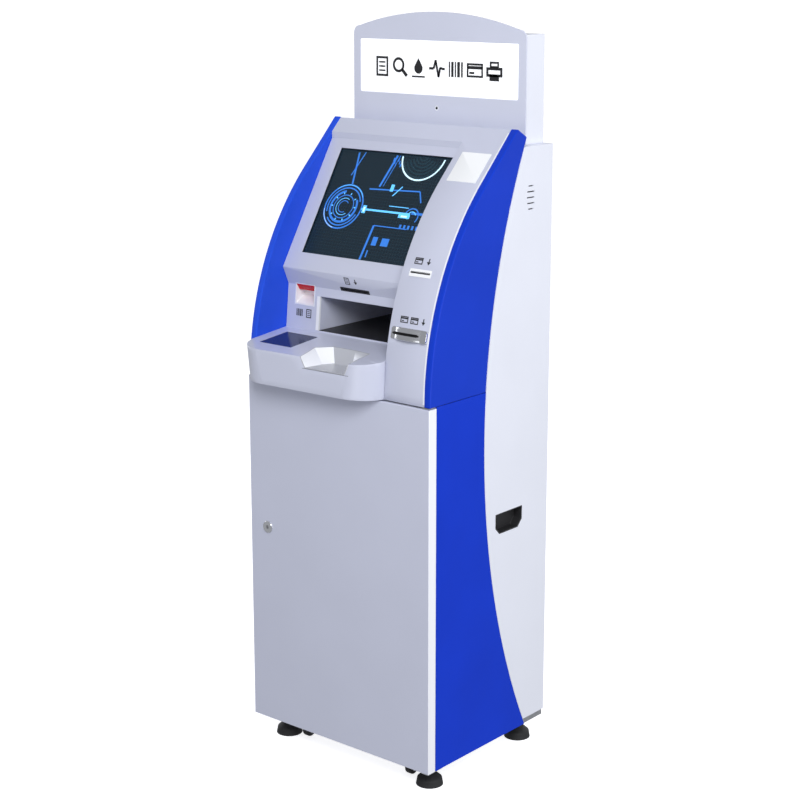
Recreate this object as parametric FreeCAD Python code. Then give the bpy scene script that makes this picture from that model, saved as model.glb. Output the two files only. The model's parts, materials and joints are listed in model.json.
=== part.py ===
"""Self-service kiosk: a free-standing steel cabinet with a leaning touch screen, a console with a
pick-up scoop, card, receipt and report slots, and a lit header sign.

Millimetres, +Z up, +X to the right of a person facing the screen, front towards -Y. The model is
laid out with y = 0 on the front door's face and z = 0 on the floor; save() then moves every piece
so that the origin is the centre of the footprint, on the floor. Sizes that several pieces share
come first; sizes of one module stand at the head of its section.
"""
import FreeCAD
import Part
import math
import os
from FreeCAD import Vector

# ---- overall sizes ---------------------------------------------------------------------------
cabinet_width = 560.0       # across the side panels
body_depth = 456.0          # door face to back sheet
foot_height = 60.0          # floor to the underside of the cabinet
lower_height = 874.0        # underside to the joint under the console
housing_rise = 553.0        # joint to the top of the rear housing
header_height = 299.0       # rear housing's top to the top of the arched header
shelf_reach = 62.0          # how far the console stands out from the door, at its left end
shelf_skew = 10.0           # how much less it stands out at its right end

# ---- sheet, gaps and fits --------------------------------------------------------------------
gap = 0.3                   # between pieces that don't touch
fit = 0.1                   # round a moulding in its opening
sheet = 3.0                 # outer panels
thin_sheet = 2.5            # fascia, cover and doors
seam = 0.8                  # visible joint between the blue and the white side skins
running = 0.08              # radial clearance of pins and shafts
over = 1.0                  # how far a cutting tool reaches past what it cuts

# ---- side profile ----------------------------------------------------------------------------
cheek_thickness = 18.0
cheek_set_back = 4.0        # cheek's front edge behind the door face, at the joint
front_radius = 680.0        # the cheek's front edge: an arc, then a straight line
front_lean = 45.0           # degrees from vertical where the arc ends
ridge_y = 318.0             # the hood's ridge, behind the door face
hood_fall = 30.0            # degrees below level, behind the ridge
hood_length = 36.0          # the hood's slope behind the ridge, measured level
cover_inset = 2.0           # front cover behind the cheeks' edge
seam_radius = 1700.0        # the side seam's arc
seam_nearest_y = 203.5      # the seam's frontmost point ...
seam_nearest_drop = 125.0   # ... and how far it lies below the joint
housing_lift = 15.0         # rear housing's bottom edge above the underside

# ---- screen fascia ---------------------------------------------------------------------------
visor_y = 286.0
visor_drop = 18.0           # the visor's height under the hood
visor_tuck = 4.0            # how far the fascia goes on behind the visor
chin_y, chin_rise = 105.0, 248.4        # fold under the screen; heights are above the joint
fold_y, fold_rise = 124.0, 206.4        # fold between the undercut and the lower face
face_foot_y = 104.4                     # lower face at the joint
column_width = 118.0                    # the card column, beside the right cheek
screen_width, screen_height = 350.0, 280.0
screen_x = -220.0                       # left edge of the visible screen
screen_start = 43.6                     # up the slope from the chin fold
glass_thickness, glass_overlap = 3.0, 8.0
monitor_depth, monitor_border = 38.0, 22.0

# ---- openings in the lower face --------------------------------------------------------------
bay_x, bay_width = -156.0, 292.0
bay_rise, bay_height = 103.0, 82.0
bay_depth = 322.0
niche_x, niche_width, niche_rise, niche_height = -237.0, 64.0, 158.4, 52.0
receipt_x, receipt_width, receipt_height = -89.5, 90.5, 10.5
receipt_start = 0.8                     # up the undercut from its fold

# ---- card column -----------------------------------------------------------------------------
card_plate_width, card_plate_height, card_plate_rise = 62.0, 18.0, 287.0
card_offset = 54.0          # upper slot's middle, from the column's left edge
card_slot_width, card_slot_height = 54.5, 2.8
card_nose_wall, card_nose_height, card_nose_fit = 0.8, 5.6, 0.2
bank_bezel_width, bank_bezel_height, bank_rise = 110.0, 30.0, 153.0
bank_edge = 1.0             # lower bezel's left end, past the column's step
bank_throat_inset, bank_throat_fit = 3.5, 0.5

# ---- header ----------------------------------------------------------------------------------
header_from_back = 86.0     # header's face, in front of the back sheet
header_box_width, header_box_depth, header_box_height = 520.0, 72.0, 252.0

# ---- doors and locks -------------------------------------------------------------------------
door_depth = 29.0
door_top_gap = 3.2
door_low_gap = 0.5
pivot_x_in, pivot_y = 8.0, 8.0          # front pivot axis, in from the door's right and front faces
pivot_radius = 3.0
lock_flange_radius, lock_flange = 15.0, 3.0
lock_barrel_radius = 9.0
lock_core_radius = 5.0
cam_length, cam_width, cam_thickness = 45.0, 14.0, 3.0
rear_opening_width = 400.0
rear_opening_rise = 70.0                # above the underside
rear_opening_drop = 47.0                # below the housing's top
rear_hinge_gap = 4.6
rear_pivot_in, rear_pivot_depth = 4.5, 7.5
rear_pin_radius, rear_pin_length = 2.5, 10.0

# ---- feet, casters, handles, inlet -----------------------------------------------------------
foot_inset_x, foot_front_y, foot_back_in = 52.0, 70.0, 38.0
stem_radius = 5.0
foot_rail_width, foot_rail_thickness = 60.0, 6.0
handle_y, handle_length, handle_height = 249.0, 106.0, 51.0
handle_drop = 131.0         # handle's top below the printer shelf's rails
handle_chamfer = 16.0
vent_lengths = [20.0, 29.0, 29.0, 29.0, 20.0]
vent_pitch, vent_slot, vent_rise, vent_from_back = 13.4, 3.0, 406.4, 84.5
inlet_x, inlet_rise = -120.0, 47.0      # mains socket's middle, above the underside
inlet_left, inlet_right, inlet_height = 25.0, 55.0, 28.0

# ---- frame -----------------------------------------------------------------------------------
bar = 25.0                  # frame angle, leg width
angle_wall = 3.0
shelf_drop = 148.0          # printer's shelf below the joint
upper_rail_rise, upper_rail_y, upper_rail_height = 356.0, 246.0, 10.0
bracket_low, bracket_high = 120.0, 230.0      # display bracket, up the screen's slope
screw_radius, screw_spread_x, screw_spread_v = 2.0, 50.0, 37.5

# ---- values that follow ----------------------------------------------------------------------
half = cabinet_width / 2
inner = half - sheet
cheek_in = half - cheek_thickness
base_z = foot_height
joint_z = base_z + lower_height
housing_z = joint_z + housing_rise
header_z = housing_z + header_height
column_x = half - cheek_thickness - column_width
card_x = column_x + card_offset
bank_x = column_x + thin_sheet + bank_edge + bank_bezel_width / 2
lean_sin = math.sin(math.radians(front_lean))
lean_cos = math.cos(math.radians(front_lean))
lean_rise = lean_cos / lean_sin         # height gained for each millimetre back on the straight line
arc_end_y = cheek_set_back + front_radius * (1 - lean_cos)
arc_end_z = joint_z + front_radius * lean_sin
ridge_z = arc_end_z + (ridge_y - arc_end_y) * lean_rise
hood_back_y = ridge_y + hood_length
header_y = body_depth - header_from_back
chin_z = joint_z + chin_rise
fold_z = joint_z + fold_rise
visor_low_z = ridge_z - (ridge_y - visor_y) * lean_rise - visor_drop
screen_lean = math.degrees(math.atan2(visor_y - chin_y, visor_low_z - chin_z))
undercut_lean = math.degrees(math.atan2(chin_y - fold_y, chin_z - fold_z))
face_lean = math.degrees(math.atan2(fold_y - face_foot_y, fold_z - joint_z))
frame_y = door_depth + sheet
frame_back_y = body_depth - sheet
rail_top_z = joint_z - door_top_gap
shelf_z = joint_z - shelf_drop
monitor_front = thin_sheet + gap + glass_thickness + gap
monitor_back = monitor_front + monitor_depth
bay_back_y = fold_y + bay_depth
bay_roof_z = joint_z + bay_rise + bay_height + sheet
foot_back_y = body_depth - foot_back_in
handle_low = shelf_z - bar - handle_drop - handle_height
vent_y = body_depth - vent_from_back
rear_opening_low = base_z + rear_opening_rise
rear_opening_high = housing_z - rear_opening_drop
rear_pivot_x = rear_opening_width / 2 - rear_hinge_gap - rear_pivot_in
rear_pivot_y = body_depth - rear_pivot_depth
inlet_z = base_z + inlet_rise
row_shift = (shelf_reach - body_depth) / 2

# The fascia's front surface, from behind the visor down to the joint, as (y, z) points.
fascia_path = [(visor_y + visor_tuck, visor_low_z + visor_tuck / math.tan(math.radians(screen_lean))),
               (chin_y, chin_z), (fold_y, fold_z), (face_foot_y, joint_z + gap)]


# ---- helpers ---------------------------------------------------------------------------------
def box(x0, x1, y0, y1, z0, z1):
    return Part.makeBox(x1 - x0, y1 - y0, z1 - z0, Vector(x0, y0, z0))


def cylinder(radius, x, y, z, axis, length):
    return Part.makeCylinder(radius, length, Vector(x, y, z), Vector(*axis))


def bar_x(radius, x0, x1, y, z):
    """A round bar lying across the cabinet."""
    return cylinder(radius, x0, y, z, (1, 0, 0), x1 - x0)


def polygon(points):
    corners = [Vector(*p) for p in points]
    return Part.makePolygon(corners + corners[:1])


def prism_x(outline, x0, x1):
    """Extrude an outline of (y, z) points from x0 to x1."""
    face = Part.Face(polygon([(x0, y, z) for y, z in outline]))
    return face.extrude(Vector(x1 - x0, 0, 0))


def rounded_plate(width, height, radius, y0, y1):
    """A plate in the XZ plane, centred on x = 0 and z = 0, with rounded corners."""
    plate = box(-width / 2, width / 2, y0, y1, -height / 2, height / 2)
    edges = [e for e in plate.Edges if abs(e.Vertexes[0].Y - e.Vertexes[-1].Y) > 1e-6]
    return plate.makeFillet(radius, edges)


def upright_edges(shape, shortest=100.0):
    return [e for e in shape.Edges if abs(e.Vertexes[0].Z - e.Vertexes[-1].Z) > shortest]


def moved(shape, x=0.0, y=0.0, z=0.0):
    copy = shape.copy()
    copy.translate(Vector(x, y, z))
    return copy


def leaned(shape, y, z, degrees):
    """Lean a piece drawn upright on y = 0, z = 0 back by an angle, and set its foot at y, z."""
    copy = shape.copy()
    copy.rotate(Vector(0, 0, 0), Vector(1, 0, 0), -degrees)
    copy.translate(Vector(0, y, z))
    return copy


def mirrored(shape):
    return shape.mirror(Vector(0, 0, 0), Vector(1, 0, 0))


def fuse(first, *others):
    return first.fuse(list(others)).removeSplitter()


def save(name, *solids):
    """Write one node; several solids make a group."""
    shape = solids[0] if len(solids) == 1 else Part.makeCompound(list(solids))
    shape = moved(shape, y=row_shift)
    shape.exportStep("parts/" + name + ".step")


def seam_drum(offset):
    """Everything behind the side seam, as a very large drum lying across the cabinet."""
    return bar_x(seam_radius + offset, -cabinet_width, cabinet_width, seam_nearest_y + seam_radius,
                 joint_z - seam_nearest_drop)


def front_region(inset, x0, x1, back_y, low_z):
    """The side profile's body: arc, leaning line and hood slope, moved in by an inset."""
    centre_y = cheek_set_back + front_radius
    radius = front_radius - inset
    middle = math.radians(front_lean / 2)
    start = Vector(x0, centre_y - radius, joint_z)
    halfway = Vector(x0, centre_y - radius * math.cos(middle), joint_z + radius * math.sin(middle))
    end = Vector(x0, centre_y - radius * lean_cos, joint_z + radius * lean_sin)
    fall = math.tan(math.radians(hood_fall))
    line_z0 = end.z - end.y * lean_rise
    top_z0 = ridge_z + ridge_y * fall - inset / math.cos(math.radians(hood_fall))
    peak_y = (top_z0 - line_z0) / (lean_rise + fall)
    peak = Vector(x0, peak_y, top_z0 - peak_y * fall)
    corners = [peak, Vector(x0, back_y, top_z0 - back_y * fall), Vector(x0, back_y, low_z),
               Vector(x0, start.y, low_z)]
    edges = [Part.Arc(start, halfway, end).toShape(), Part.LineSegment(end, peak).toShape()]
    edges += [Part.LineSegment(a, b).toShape() for a, b in zip(corners, corners[1:])]
    if abs(low_z - joint_z) > 1e-6:
        edges.append(Part.LineSegment(corners[-1], start).toShape())
    return Part.Face(Part.Wire(edges)).extrude(Vector(x1 - x0, 0, 0))


def offset_path(path, distance):
    """Move a path of (y, z) points, going down, backwards by a distance, with mitred corners."""
    normals = []
    for (y0, z0), (y1, z1) in zip(path, path[1:]):
        length = math.hypot(y1 - y0, z1 - z0)
        normals.append(((z0 - z1) / length, (y1 - y0) / length))
    result = []
    for i, (y, z) in enumerate(path):
        before, after = normals[max(i - 1, 0)], normals[min(i, len(normals) - 1)]
        ny, nz = before[0] + after[0], before[1] + after[1]
        scale = distance / (ny * before[0] + nz * before[1])
        result.append((y + ny * scale, z + nz * scale))
    return result


def fascia_slab(front, back, x0, x1):
    """The material between two depths behind the fascia's front surface."""
    outline = offset_path(fascia_path, front) + offset_path(fascia_path, back)[::-1]
    return prism_x(outline, x0, x1)


def behind_fascia(offset):
    """Everything behind the fascia's lower face, moved forwards by an offset."""
    path = offset_path(fascia_path, -offset)[1:]
    foot = (path[-1][0], joint_z - 10)
    return prism_x(path + [foot, (body_depth, foot[1]), (body_depth, path[0][1])], -half, half)


def face_y(rise):
    """The lower face's y at a height above the joint."""
    return face_foot_y + (fold_y - face_foot_y) * rise / fold_rise


def on_screen(shape):
    return leaned(shape, chin_y, chin_z, screen_lean)


def on_undercut(shape):
    return leaned(shape, fold_y, fold_z, undercut_lean)


def on_column(shape, rise):
    """Set a piece on the card column's face, at a height above the joint."""
    radius = front_radius - cover_inset
    if rise < radius * lean_sin:
        lean = math.degrees(math.asin(rise / radius))
        y = cheek_set_back + front_radius - radius * math.cos(math.radians(lean))
    else:
        lean = front_lean
        y = cheek_set_back + front_radius - radius * lean_cos + (rise - radius * lean_sin) / lean_rise
    return leaned(shape, y, joint_z + rise, lean)


def foot_places():
    x = half - foot_inset_x
    return [(-x, foot_front_y), (x, foot_front_y), (-x, foot_back_y), (x, foot_back_y)]


def screw_places():
    """The display's four screws: x, and the place up the screen's slope."""
    middle_x, middle_v = screen_x + screen_width / 2, (bracket_low + bracket_high) / 2
    return [(middle_x + dx, middle_v + dv) for dx in (-screw_spread_x, screw_spread_x)
            for dv in (-screw_spread_v, screw_spread_v)]


def handle_outline(grow):
    """The handle's opening in (y, z): straight top, chamfered lower corners."""
    y0, y1 = handle_y - grow, handle_y + handle_length + grow
    z0, z1 = handle_low - grow, handle_low + handle_height + grow
    cut = handle_chamfer
    return [(y0, z1), (y0, z0 + cut), (y0 + cut, z0), (y1 - cut, z0), (y1, z0 + cut), (y1, z1)]


# ---- frame and skins -------------------------------------------------------------------------
def angle_post(x_out, y_out, side_y, z0, z1):
    """An upright of angle: one leg along the side panel, one along the front or the back."""
    sign = 1 if x_out > 0 else -1
    xs = sorted([x_out, x_out - sign * bar])
    ys = sorted([y_out, y_out + side_y * bar])
    post = box(xs[0], xs[1], ys[0], ys[1], z0, z1)
    hollow_x = sorted([x_out - sign * angle_wall, x_out - sign * (bar + over)])
    hollow_y = sorted([y_out + side_y * angle_wall, y_out + side_y * (bar + over)])
    return post.cut(box(hollow_x[0], hollow_x[1], hollow_y[0], hollow_y[1], z0 - over, z1 + over))


def make_inner_frame():
    ring = box(-inner, inner, frame_y, frame_back_y, base_z, base_z + bar)
    ring = ring.cut(box(-inner + angle_wall, inner - angle_wall, frame_y + angle_wall,
                        frame_back_y - angle_wall, base_z - over, base_z + bar + over))
    top = housing_z - sheet
    pieces = []
    for x in (-inner, inner):
        pieces.append(angle_post(x, frame_y, 1, base_z, rail_top_z))
        pieces.append(angle_post(x, frame_back_y, -1, base_z, top))
        side = sorted([x, x * (1 - angle_wall / inner)])
        pieces.append(box(side[0], side[1], frame_y, frame_back_y, rail_top_z - bar, rail_top_z))
        pieces.append(box(side[0], side[1], frame_y, frame_back_y, shelf_z - bar, shelf_z))
        arm = sorted([math.copysign(cheek_in, x), math.copysign(cheek_in - bar, x)])
        pieces.append(box(arm[0], arm[1], upper_rail_y, frame_back_y - bar / 2, joint_z + upper_rail_rise,
                          joint_z + upper_rail_rise + upper_rail_height))
    pieces.append(box(-inner, inner, frame_y, frame_y + angle_wall, rail_top_z - bar, rail_top_z))
    pieces.append(box(-inner, inner, frame_back_y - angle_wall, frame_back_y, top - bar, top))
    pieces.append(box(-inner, inner, frame_y + bar, frame_back_y - bar, shelf_z - angle_wall, shelf_z))
    for y in (foot_front_y, foot_back_y):
        pieces.append(box(-inner, inner, y - foot_rail_width / 2, y + foot_rail_width / 2, base_z,
                          base_z + foot_rail_thickness))
    pieces.append(on_screen(box(-cheek_in, cheek_in, monitor_back + gap, monitor_back + gap + angle_wall,
                                bracket_low, bracket_high)))
    frame = ring.fuse(pieces).removeSplitter()
    for x, y in foot_places():
        frame = frame.cut(cylinder(stem_radius + running, x, y, base_z - over, (0, 0, 1),
                                   foot_rail_thickness + 2 * over))
    for x, v in screw_places():
        hole = cylinder(screw_radius, x, monitor_back, v, (0, 1, 0), gap + angle_wall + over)
        frame = frame.cut(on_screen(hole))
    return frame


def make_side_panel():
    panel = box(inner, half, frame_y - sheet + gap, body_depth, base_z, joint_z - gap)
    return panel.cut(seam_drum(seam / 2))


def make_cheek():
    """The cheek ends at the side seam, and short of the header where the seam runs on behind it."""
    cheek = front_region(0, cheek_in, half, body_depth, joint_z)
    cheek = cheek.cut(seam_drum(seam / 2))
    cheek = cheek.cut(box(cheek_in - over, half + over, header_y - gap, body_depth + over, joint_z, header_z))
    return cheek.cut(box(cheek_in - over, half + over, -over, body_depth, joint_z - over, joint_z + gap))


lug_left, lug_right, lug_front = 9.0, 11.0, 6.0      # rear hinge lugs, round their pin


def make_rear_housing():
    low = base_z + housing_lift
    outer = box(-half, half, 0, body_depth, low, housing_z)
    hollow = box(-inner, inner, -over, frame_back_y, low - over, housing_z - sheet)
    shell = outer.cut(hollow).common(seam_drum(-seam / 2))
    opening = rear_opening_width / 2
    cuts = [box(-opening, opening, frame_back_y - over, body_depth + over, rear_opening_low, rear_opening_high),
            prism_x(handle_outline(0), -half - over, half + over),
            box(inlet_x - inlet_left, inlet_x + inlet_right, frame_back_y - over, body_depth + over,
                inlet_z - inlet_height / 2, inlet_z + inlet_height / 2)]
    for i, length in enumerate(vent_lengths):
        z = joint_z + vent_rise + i * vent_pitch
        cuts.append(box(-half - over, half + over, vent_y - length / 2, vent_y + length / 2, z, z + vent_slot))
    shell = shell.cut(cuts)
    lugs = []
    for z0, tip in ((rear_opening_high, -1), (rear_opening_low - sheet, 1)):
        lugs.append(box(rear_pivot_x - lug_left, rear_pivot_x + lug_right, rear_pivot_y - lug_front, frame_back_y,
                        z0, z0 + sheet))
        start = z0 if tip < 0 else z0 + sheet
        lugs.append(cylinder(rear_pin_radius, rear_pivot_x, rear_pivot_y, start, (0, 0, tip), rear_pin_length))
    return fuse(shell, *lugs)


base_plate_thickness = 2.0
base_vents, base_vent_pitch, base_vent_width = 8, 20.0, 8.0
base_vent_y, base_vent_length = 130.0, 70.0


def make_base_plate():
    z0 = base_z + bar
    z1 = z0 + base_plate_thickness
    plate = box(-inner + gap, inner - gap, frame_y + gap, frame_back_y - gap, z0, z1)
    for x in (-inner, inner):
        for y, side in ((frame_y, 1), (frame_back_y, -1)):
            xs = sorted([x, x - math.copysign(bar + gap, x)])
            ys = sorted([y, y + side * (bar + gap)])
            plate = plate.cut(box(xs[0] - over, xs[1] + over, ys[0] - over, ys[1] + over, z0 - over, z1 + over))
    for i in range(base_vents):
        x = (i - (base_vents - 1) / 2) * base_vent_pitch
        plate = plate.cut(box(x - base_vent_width / 2, x + base_vent_width / 2, base_vent_y,
                              base_vent_y + base_vent_length, z0 - over, z1 + over))
    return plate


# ---- front: cover with card column, fascia, display ------------------------------------------
monitor_recess, monitor_recess_margin, monitor_chamfer = 1.5, 2.0, 6.0
screw_grip, screw_hole_depth = 7.0, 10.0
screw_head_height, screw_recess_radius, screw_recess_floor = 3.0, 1.2, 1.2


def make_front_cover():
    """Hood and card column in one bent sheet, with the visor and the step down to the fascia."""
    x0, x1 = -cheek_in + gap, cheek_in - gap
    low = joint_z + gap
    outer = front_region(cover_inset, x0, x1, hood_back_y, joint_z)
    hollow = front_region(cover_inset + thin_sheet, x0 - over, x1 + over, hood_back_y - thin_sheet,
                          joint_z - over)
    skin = outer.cut(hollow)
    column = skin.common(box(column_x, x1, 0, hood_back_y - thin_sheet, low, header_z))
    hood = skin.common(box(x0, x1, visor_y, hood_back_y, housing_z + gap, header_z))
    visor = outer.common(box(x0, x1, visor_y, visor_y + thin_sheet, visor_low_z, ridge_z))
    in_front = prism_x([(-shelf_reach, header_z), (-shelf_reach, low)]
                       + offset_path(fascia_path, 2 * thin_sheet)[::-1], column_x, column_x + thin_sheet)
    step_wall = outer.common(in_front).cut(box(-half, half, -over, hood_back_y, joint_z - over, low))
    cover = fuse(column, hood, visor, step_wall)
    cover = cover.cut(fascia_slab(-gap, thin_sheet + gap, x0 - over, column_x))
    inset = 2 * (bank_throat_inset - bank_throat_fit)
    bank = rounded_plate(bank_bezel_width - inset, bank_bezel_height - inset, 4, -20, 20)
    cover = cover.cut(on_column(moved(bank, x=bank_x), bank_rise))
    nose = card_slot_width / 2 + card_nose_wall + card_nose_fit
    card = box(-nose, nose, -20, 20, -card_nose_height / 2 - card_nose_fit, card_nose_height / 2 + card_nose_fit)
    return cover.cut(on_column(moved(card, x=card_x), card_plate_rise))


def make_screen_fascia():
    fascia = fascia_slab(0, thin_sheet, -cheek_in + gap, column_x - gap)
    window = on_screen(box(screen_x, screen_x + screen_width, -10, 10, screen_start, screen_start + screen_height))
    niche = box(niche_x, niche_x + niche_width, 0, body_depth, joint_z + niche_rise,
                joint_z + niche_rise + niche_height)
    slot = on_undercut(box(receipt_x, receipt_x + receipt_width, -5, 6, receipt_start,
                           receipt_start + receipt_height))
    bay = box(bay_x, bay_x + bay_width, 0, body_depth, joint_z + bay_rise, joint_z + bay_rise + bay_height)
    return fascia.cut([window, niche, slot, bay])


def make_screen():
    """Touch glass behind the fascia's window, and the display behind the glass."""
    x1, v1 = screen_x + screen_width, screen_start + screen_height
    glass = box(screen_x - glass_overlap, x1 + glass_overlap, thin_sheet + gap, thin_sheet + gap + glass_thickness,
                screen_start - glass_overlap, v1 + glass_overlap)
    monitor = box(screen_x - monitor_border, x1 + monitor_border, monitor_front, monitor_back,
                  screen_start - monitor_border, v1 + monitor_border)
    margin = monitor_recess_margin
    recess = box(screen_x - margin, x1 + margin, monitor_front - over, monitor_front + monitor_recess,
                 screen_start - margin, v1 + margin)
    monitor = monitor.cut(recess)
    monitor = monitor.makeChamfer(monitor_chamfer, [e for e in monitor.Edges
                                                    if min(v.Y for v in e.Vertexes) > monitor_back - 0.1])
    for x, v in screw_places():
        monitor = monitor.cut(cylinder(screw_radius, x, monitor_back + over, v, (0, -1, 0), screw_hole_depth))
    return on_screen(glass), on_screen(monitor)


def make_monitor_screws():
    screws = []
    plate_back = monitor_back + gap + angle_wall
    for x, v in screw_places():
        shank = cylinder(screw_radius, x, monitor_back - screw_grip, v, (0, 1, 0),
                         plate_back - monitor_back + screw_grip)
        head = cylinder(2 * screw_radius, x, plate_back, v, (0, 1, 0), screw_head_height)
        recess = cylinder(screw_recess_radius, x, plate_back + screw_recess_floor, v, (0, 1, 0), screw_head_height)
        screws.append(on_screen(fuse(shank, head).cut(recess)))
    return screws


# ---- console ---------------------------------------------------------------------------------
shelf_front_rise = 82.3     # top of the console above the joint, at its left front
shelf_slope = 0.1           # its top rises this much for each millimetre back
shelf_corner = 60.0
shelf_corner_foot = 84.0    # the corners' radius at the bottom, so that they draw in
shelf_overlap = 4.0         # the console's right end past the column's edge
shelf_wall, shelf_floor = 4.0, 3.0
shelf_loft_top = 130.0      # above the joint; the sloping top is cut from there
reader_x, reader_y, reader_width, reader_length = -228.0, -15.0, 103.0, 96.0
reader_glass, reader_sink = 3.0, 0.4
reader_margin, reader_low, lens_margin, lens_depth = 6.0, 45.0, 8.0, 22.0
scoop_floor_rise = 59.0     # scoop floor above the joint
scoop_wall = 2.5
scoop_x = 22.0
scoop_loft_top = 16.0       # above the console's top at y = 0
# Floor and rim of the scoop, as (x from scoop_x, y); both run out through the console's front.
scoop_floor = [(-68, -90), (-54, -8), (-39, 18), (14, 18), (32, -8), (67, -90)]
scoop_rim = [(-74, -90), (-114, 20), (-66, 44), (8, 44), (62, 48), (75, -90)]


def shelf_outline(z, corner, inset):
    """The console's outline at a height: square at the back, rounded at the front."""
    x0, x1 = -cheek_in + gap + inset, column_x + shelf_overlap - inset
    y0, y1 = -shelf_reach + inset, -shelf_reach + shelf_skew + inset
    radius = corner - inset
    back = fold_y + 10
    turn = radius * (1 - math.cos(math.radians(45)))
    edges = [Part.LineSegment(Vector(x1, back, z), Vector(x0, back, z)),
             Part.LineSegment(Vector(x0, back, z), Vector(x0, y0 + radius, z)),
             Part.Arc(Vector(x0, y0 + radius, z), Vector(x0 + turn, y0 + turn, z), Vector(x0 + radius, y0, z)),
             Part.LineSegment(Vector(x0 + radius, y0, z), Vector(x1 - radius, y1, z)),
             Part.Arc(Vector(x1 - radius, y1, z), Vector(x1 - turn, y1 + turn, z), Vector(x1, y1 + radius, z)),
             Part.LineSegment(Vector(x1, y1 + radius, z), Vector(x1, back, z))]
    return Part.Wire([e.toShape() for e in edges])


def shelf_top(y, drop=0.0):
    return joint_z + shelf_front_rise + shelf_slope * (y + shelf_reach) - drop


def shelf_body(inset, drop, low_z):
    """The console as a full solid: walls moved in by inset, top lowered by drop."""
    wires = [shelf_outline(low_z, shelf_corner_foot, inset),
             shelf_outline(joint_z + shelf_loft_top, shelf_corner, inset)]
    body = Part.makeLoft(wires, True, True)
    front, back = -2 * shelf_reach, body_depth
    above = prism_x([(front, shelf_top(front, drop)), (back, shelf_top(back, drop)), (back, header_z),
                     (front, header_z)], -half - over, half + over)
    return body.cut(above)


def scoop_hollow(grow):
    """The scoop's space, open to the front and the top; grow adds the moulding's wall."""
    def spread(points, z):
        return polygon([(scoop_x + x + math.copysign(grow, x), y + (grow if y > -50 else 0), z) for x, y in points])
    low = joint_z + scoop_floor_rise - grow
    return Part.makeLoft([spread(scoop_floor, low), spread(scoop_rim, shelf_top(0) + scoop_loft_top)], True, True)


def make_console():
    """The console's shell, its dark reader window, the moulded scoop and the reader under the window."""
    full = shelf_body(0, 0, joint_z + gap)
    hollow = shelf_body(shelf_wall, shelf_wall, joint_z + gap + shelf_floor)
    shelf = full.cut(hollow).cut(behind_fascia(gap))
    shelf = shelf.cut(box(column_x - gap, half, cheek_set_back + cover_inset - gap, body_depth, joint_z, header_z))
    x0, x1, y0, y1 = reader_x, reader_x + reader_width, reader_y, reader_y + reader_length
    window = box(x0, x1, y0, y1, joint_z + shelf_floor + 2 * over, header_z)
    shelf = shelf.cut([window, scoop_hollow(scoop_wall + fit)])
    glass = full.cut(shelf_body(0, reader_glass, joint_z + gap))
    glass = glass.common(box(x0 + gap, x1 - gap, y0 + gap, y1 - gap, joint_z, header_z))
    glass = moved(glass, z=-reader_sink)
    scoop = scoop_hollow(scoop_wall).cut(scoop_hollow(0)).common(full)
    module = box(x0 - reader_margin, x1 + reader_margin, y0 - reader_margin, y1 + reader_margin,
                 joint_z + reader_low, header_z)
    module = module.common(shelf_body(shelf_wall + over, shelf_wall, joint_z + 10))
    well_low = shelf_top(y0) - reader_glass - reader_sink - gap - lens_depth
    well = box(x0 + lens_margin, x1 - lens_margin, y0 + lens_margin, y1 - lens_margin, well_low, header_z)
    return shelf, glass, scoop, module.cut(well)


# ---- barcode scanner niche -------------------------------------------------------------------
niche_depth, niche_wall, niche_glass = 46.0, 2.5, 2.2
niche_inner_depth, niche_floor_rise = 34.0, 20.0
niche_roof_fall, niche_lip = 16.0, 4.0
engine_width, engine_depth, engine_low, engine_high = 40.0, 34.0, 6.0, 40.0
engine_plate_width, engine_plate, engine_plate_low, engine_plate_high = 52.0, 3.0, 2.0, 46.0


def make_scanner():
    """Moulded niche with a sloping floor, a red window leaning over it, and the scan engine."""
    z0, z1 = joint_z + niche_rise + fit, joint_z + niche_rise + niche_height - fit
    x0, x1 = niche_x + fit, niche_x + niche_width - fit
    y0 = face_y(niche_rise)
    body = box(x0, x1, y0 - 20, y0 + niche_depth, z0, z1).common(fascia_slab(0, niche_depth + 24, x0, x1))
    roof_back, inside = z1 - niche_roof_fall, y0 + niche_inner_depth
    front = y0 - 30
    hollow = prism_x([(front, z0 + niche_wall), (y0 + niche_wall, z0 + niche_wall), (inside, z0 + niche_floor_rise),
                      (inside, roof_back), (y0 + niche_lip, z1 - niche_wall), (front, z1 - niche_wall)],
                     x0 + niche_wall, x1 - niche_wall)
    lip = y0 + niche_lip + 2 * fit
    window = prism_x([(inside - 0.5, roof_back + 2 * fit), (lip, z1 - niche_wall - fit),
                      (lip, z1 - niche_wall - niche_glass), (inside - 0.5, roof_back - niche_glass)],
                     x0 + niche_wall + fit, x1 - niche_wall - fit)
    window = window.cut(body.cut(hollow))
    middle, y1 = (x0 + x1) / 2, y0 + niche_depth
    engine = box(middle - engine_width / 2, middle + engine_width / 2, y1, y1 + engine_depth, z0 + engine_low,
                 z0 + engine_high)
    plate = box(middle - engine_plate_width / 2, middle + engine_plate_width / 2, y1, y1 + engine_plate,
                z0 + engine_plate_low, z0 + engine_plate_high)
    return body.cut(hollow), window, fuse(engine, plate)


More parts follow.
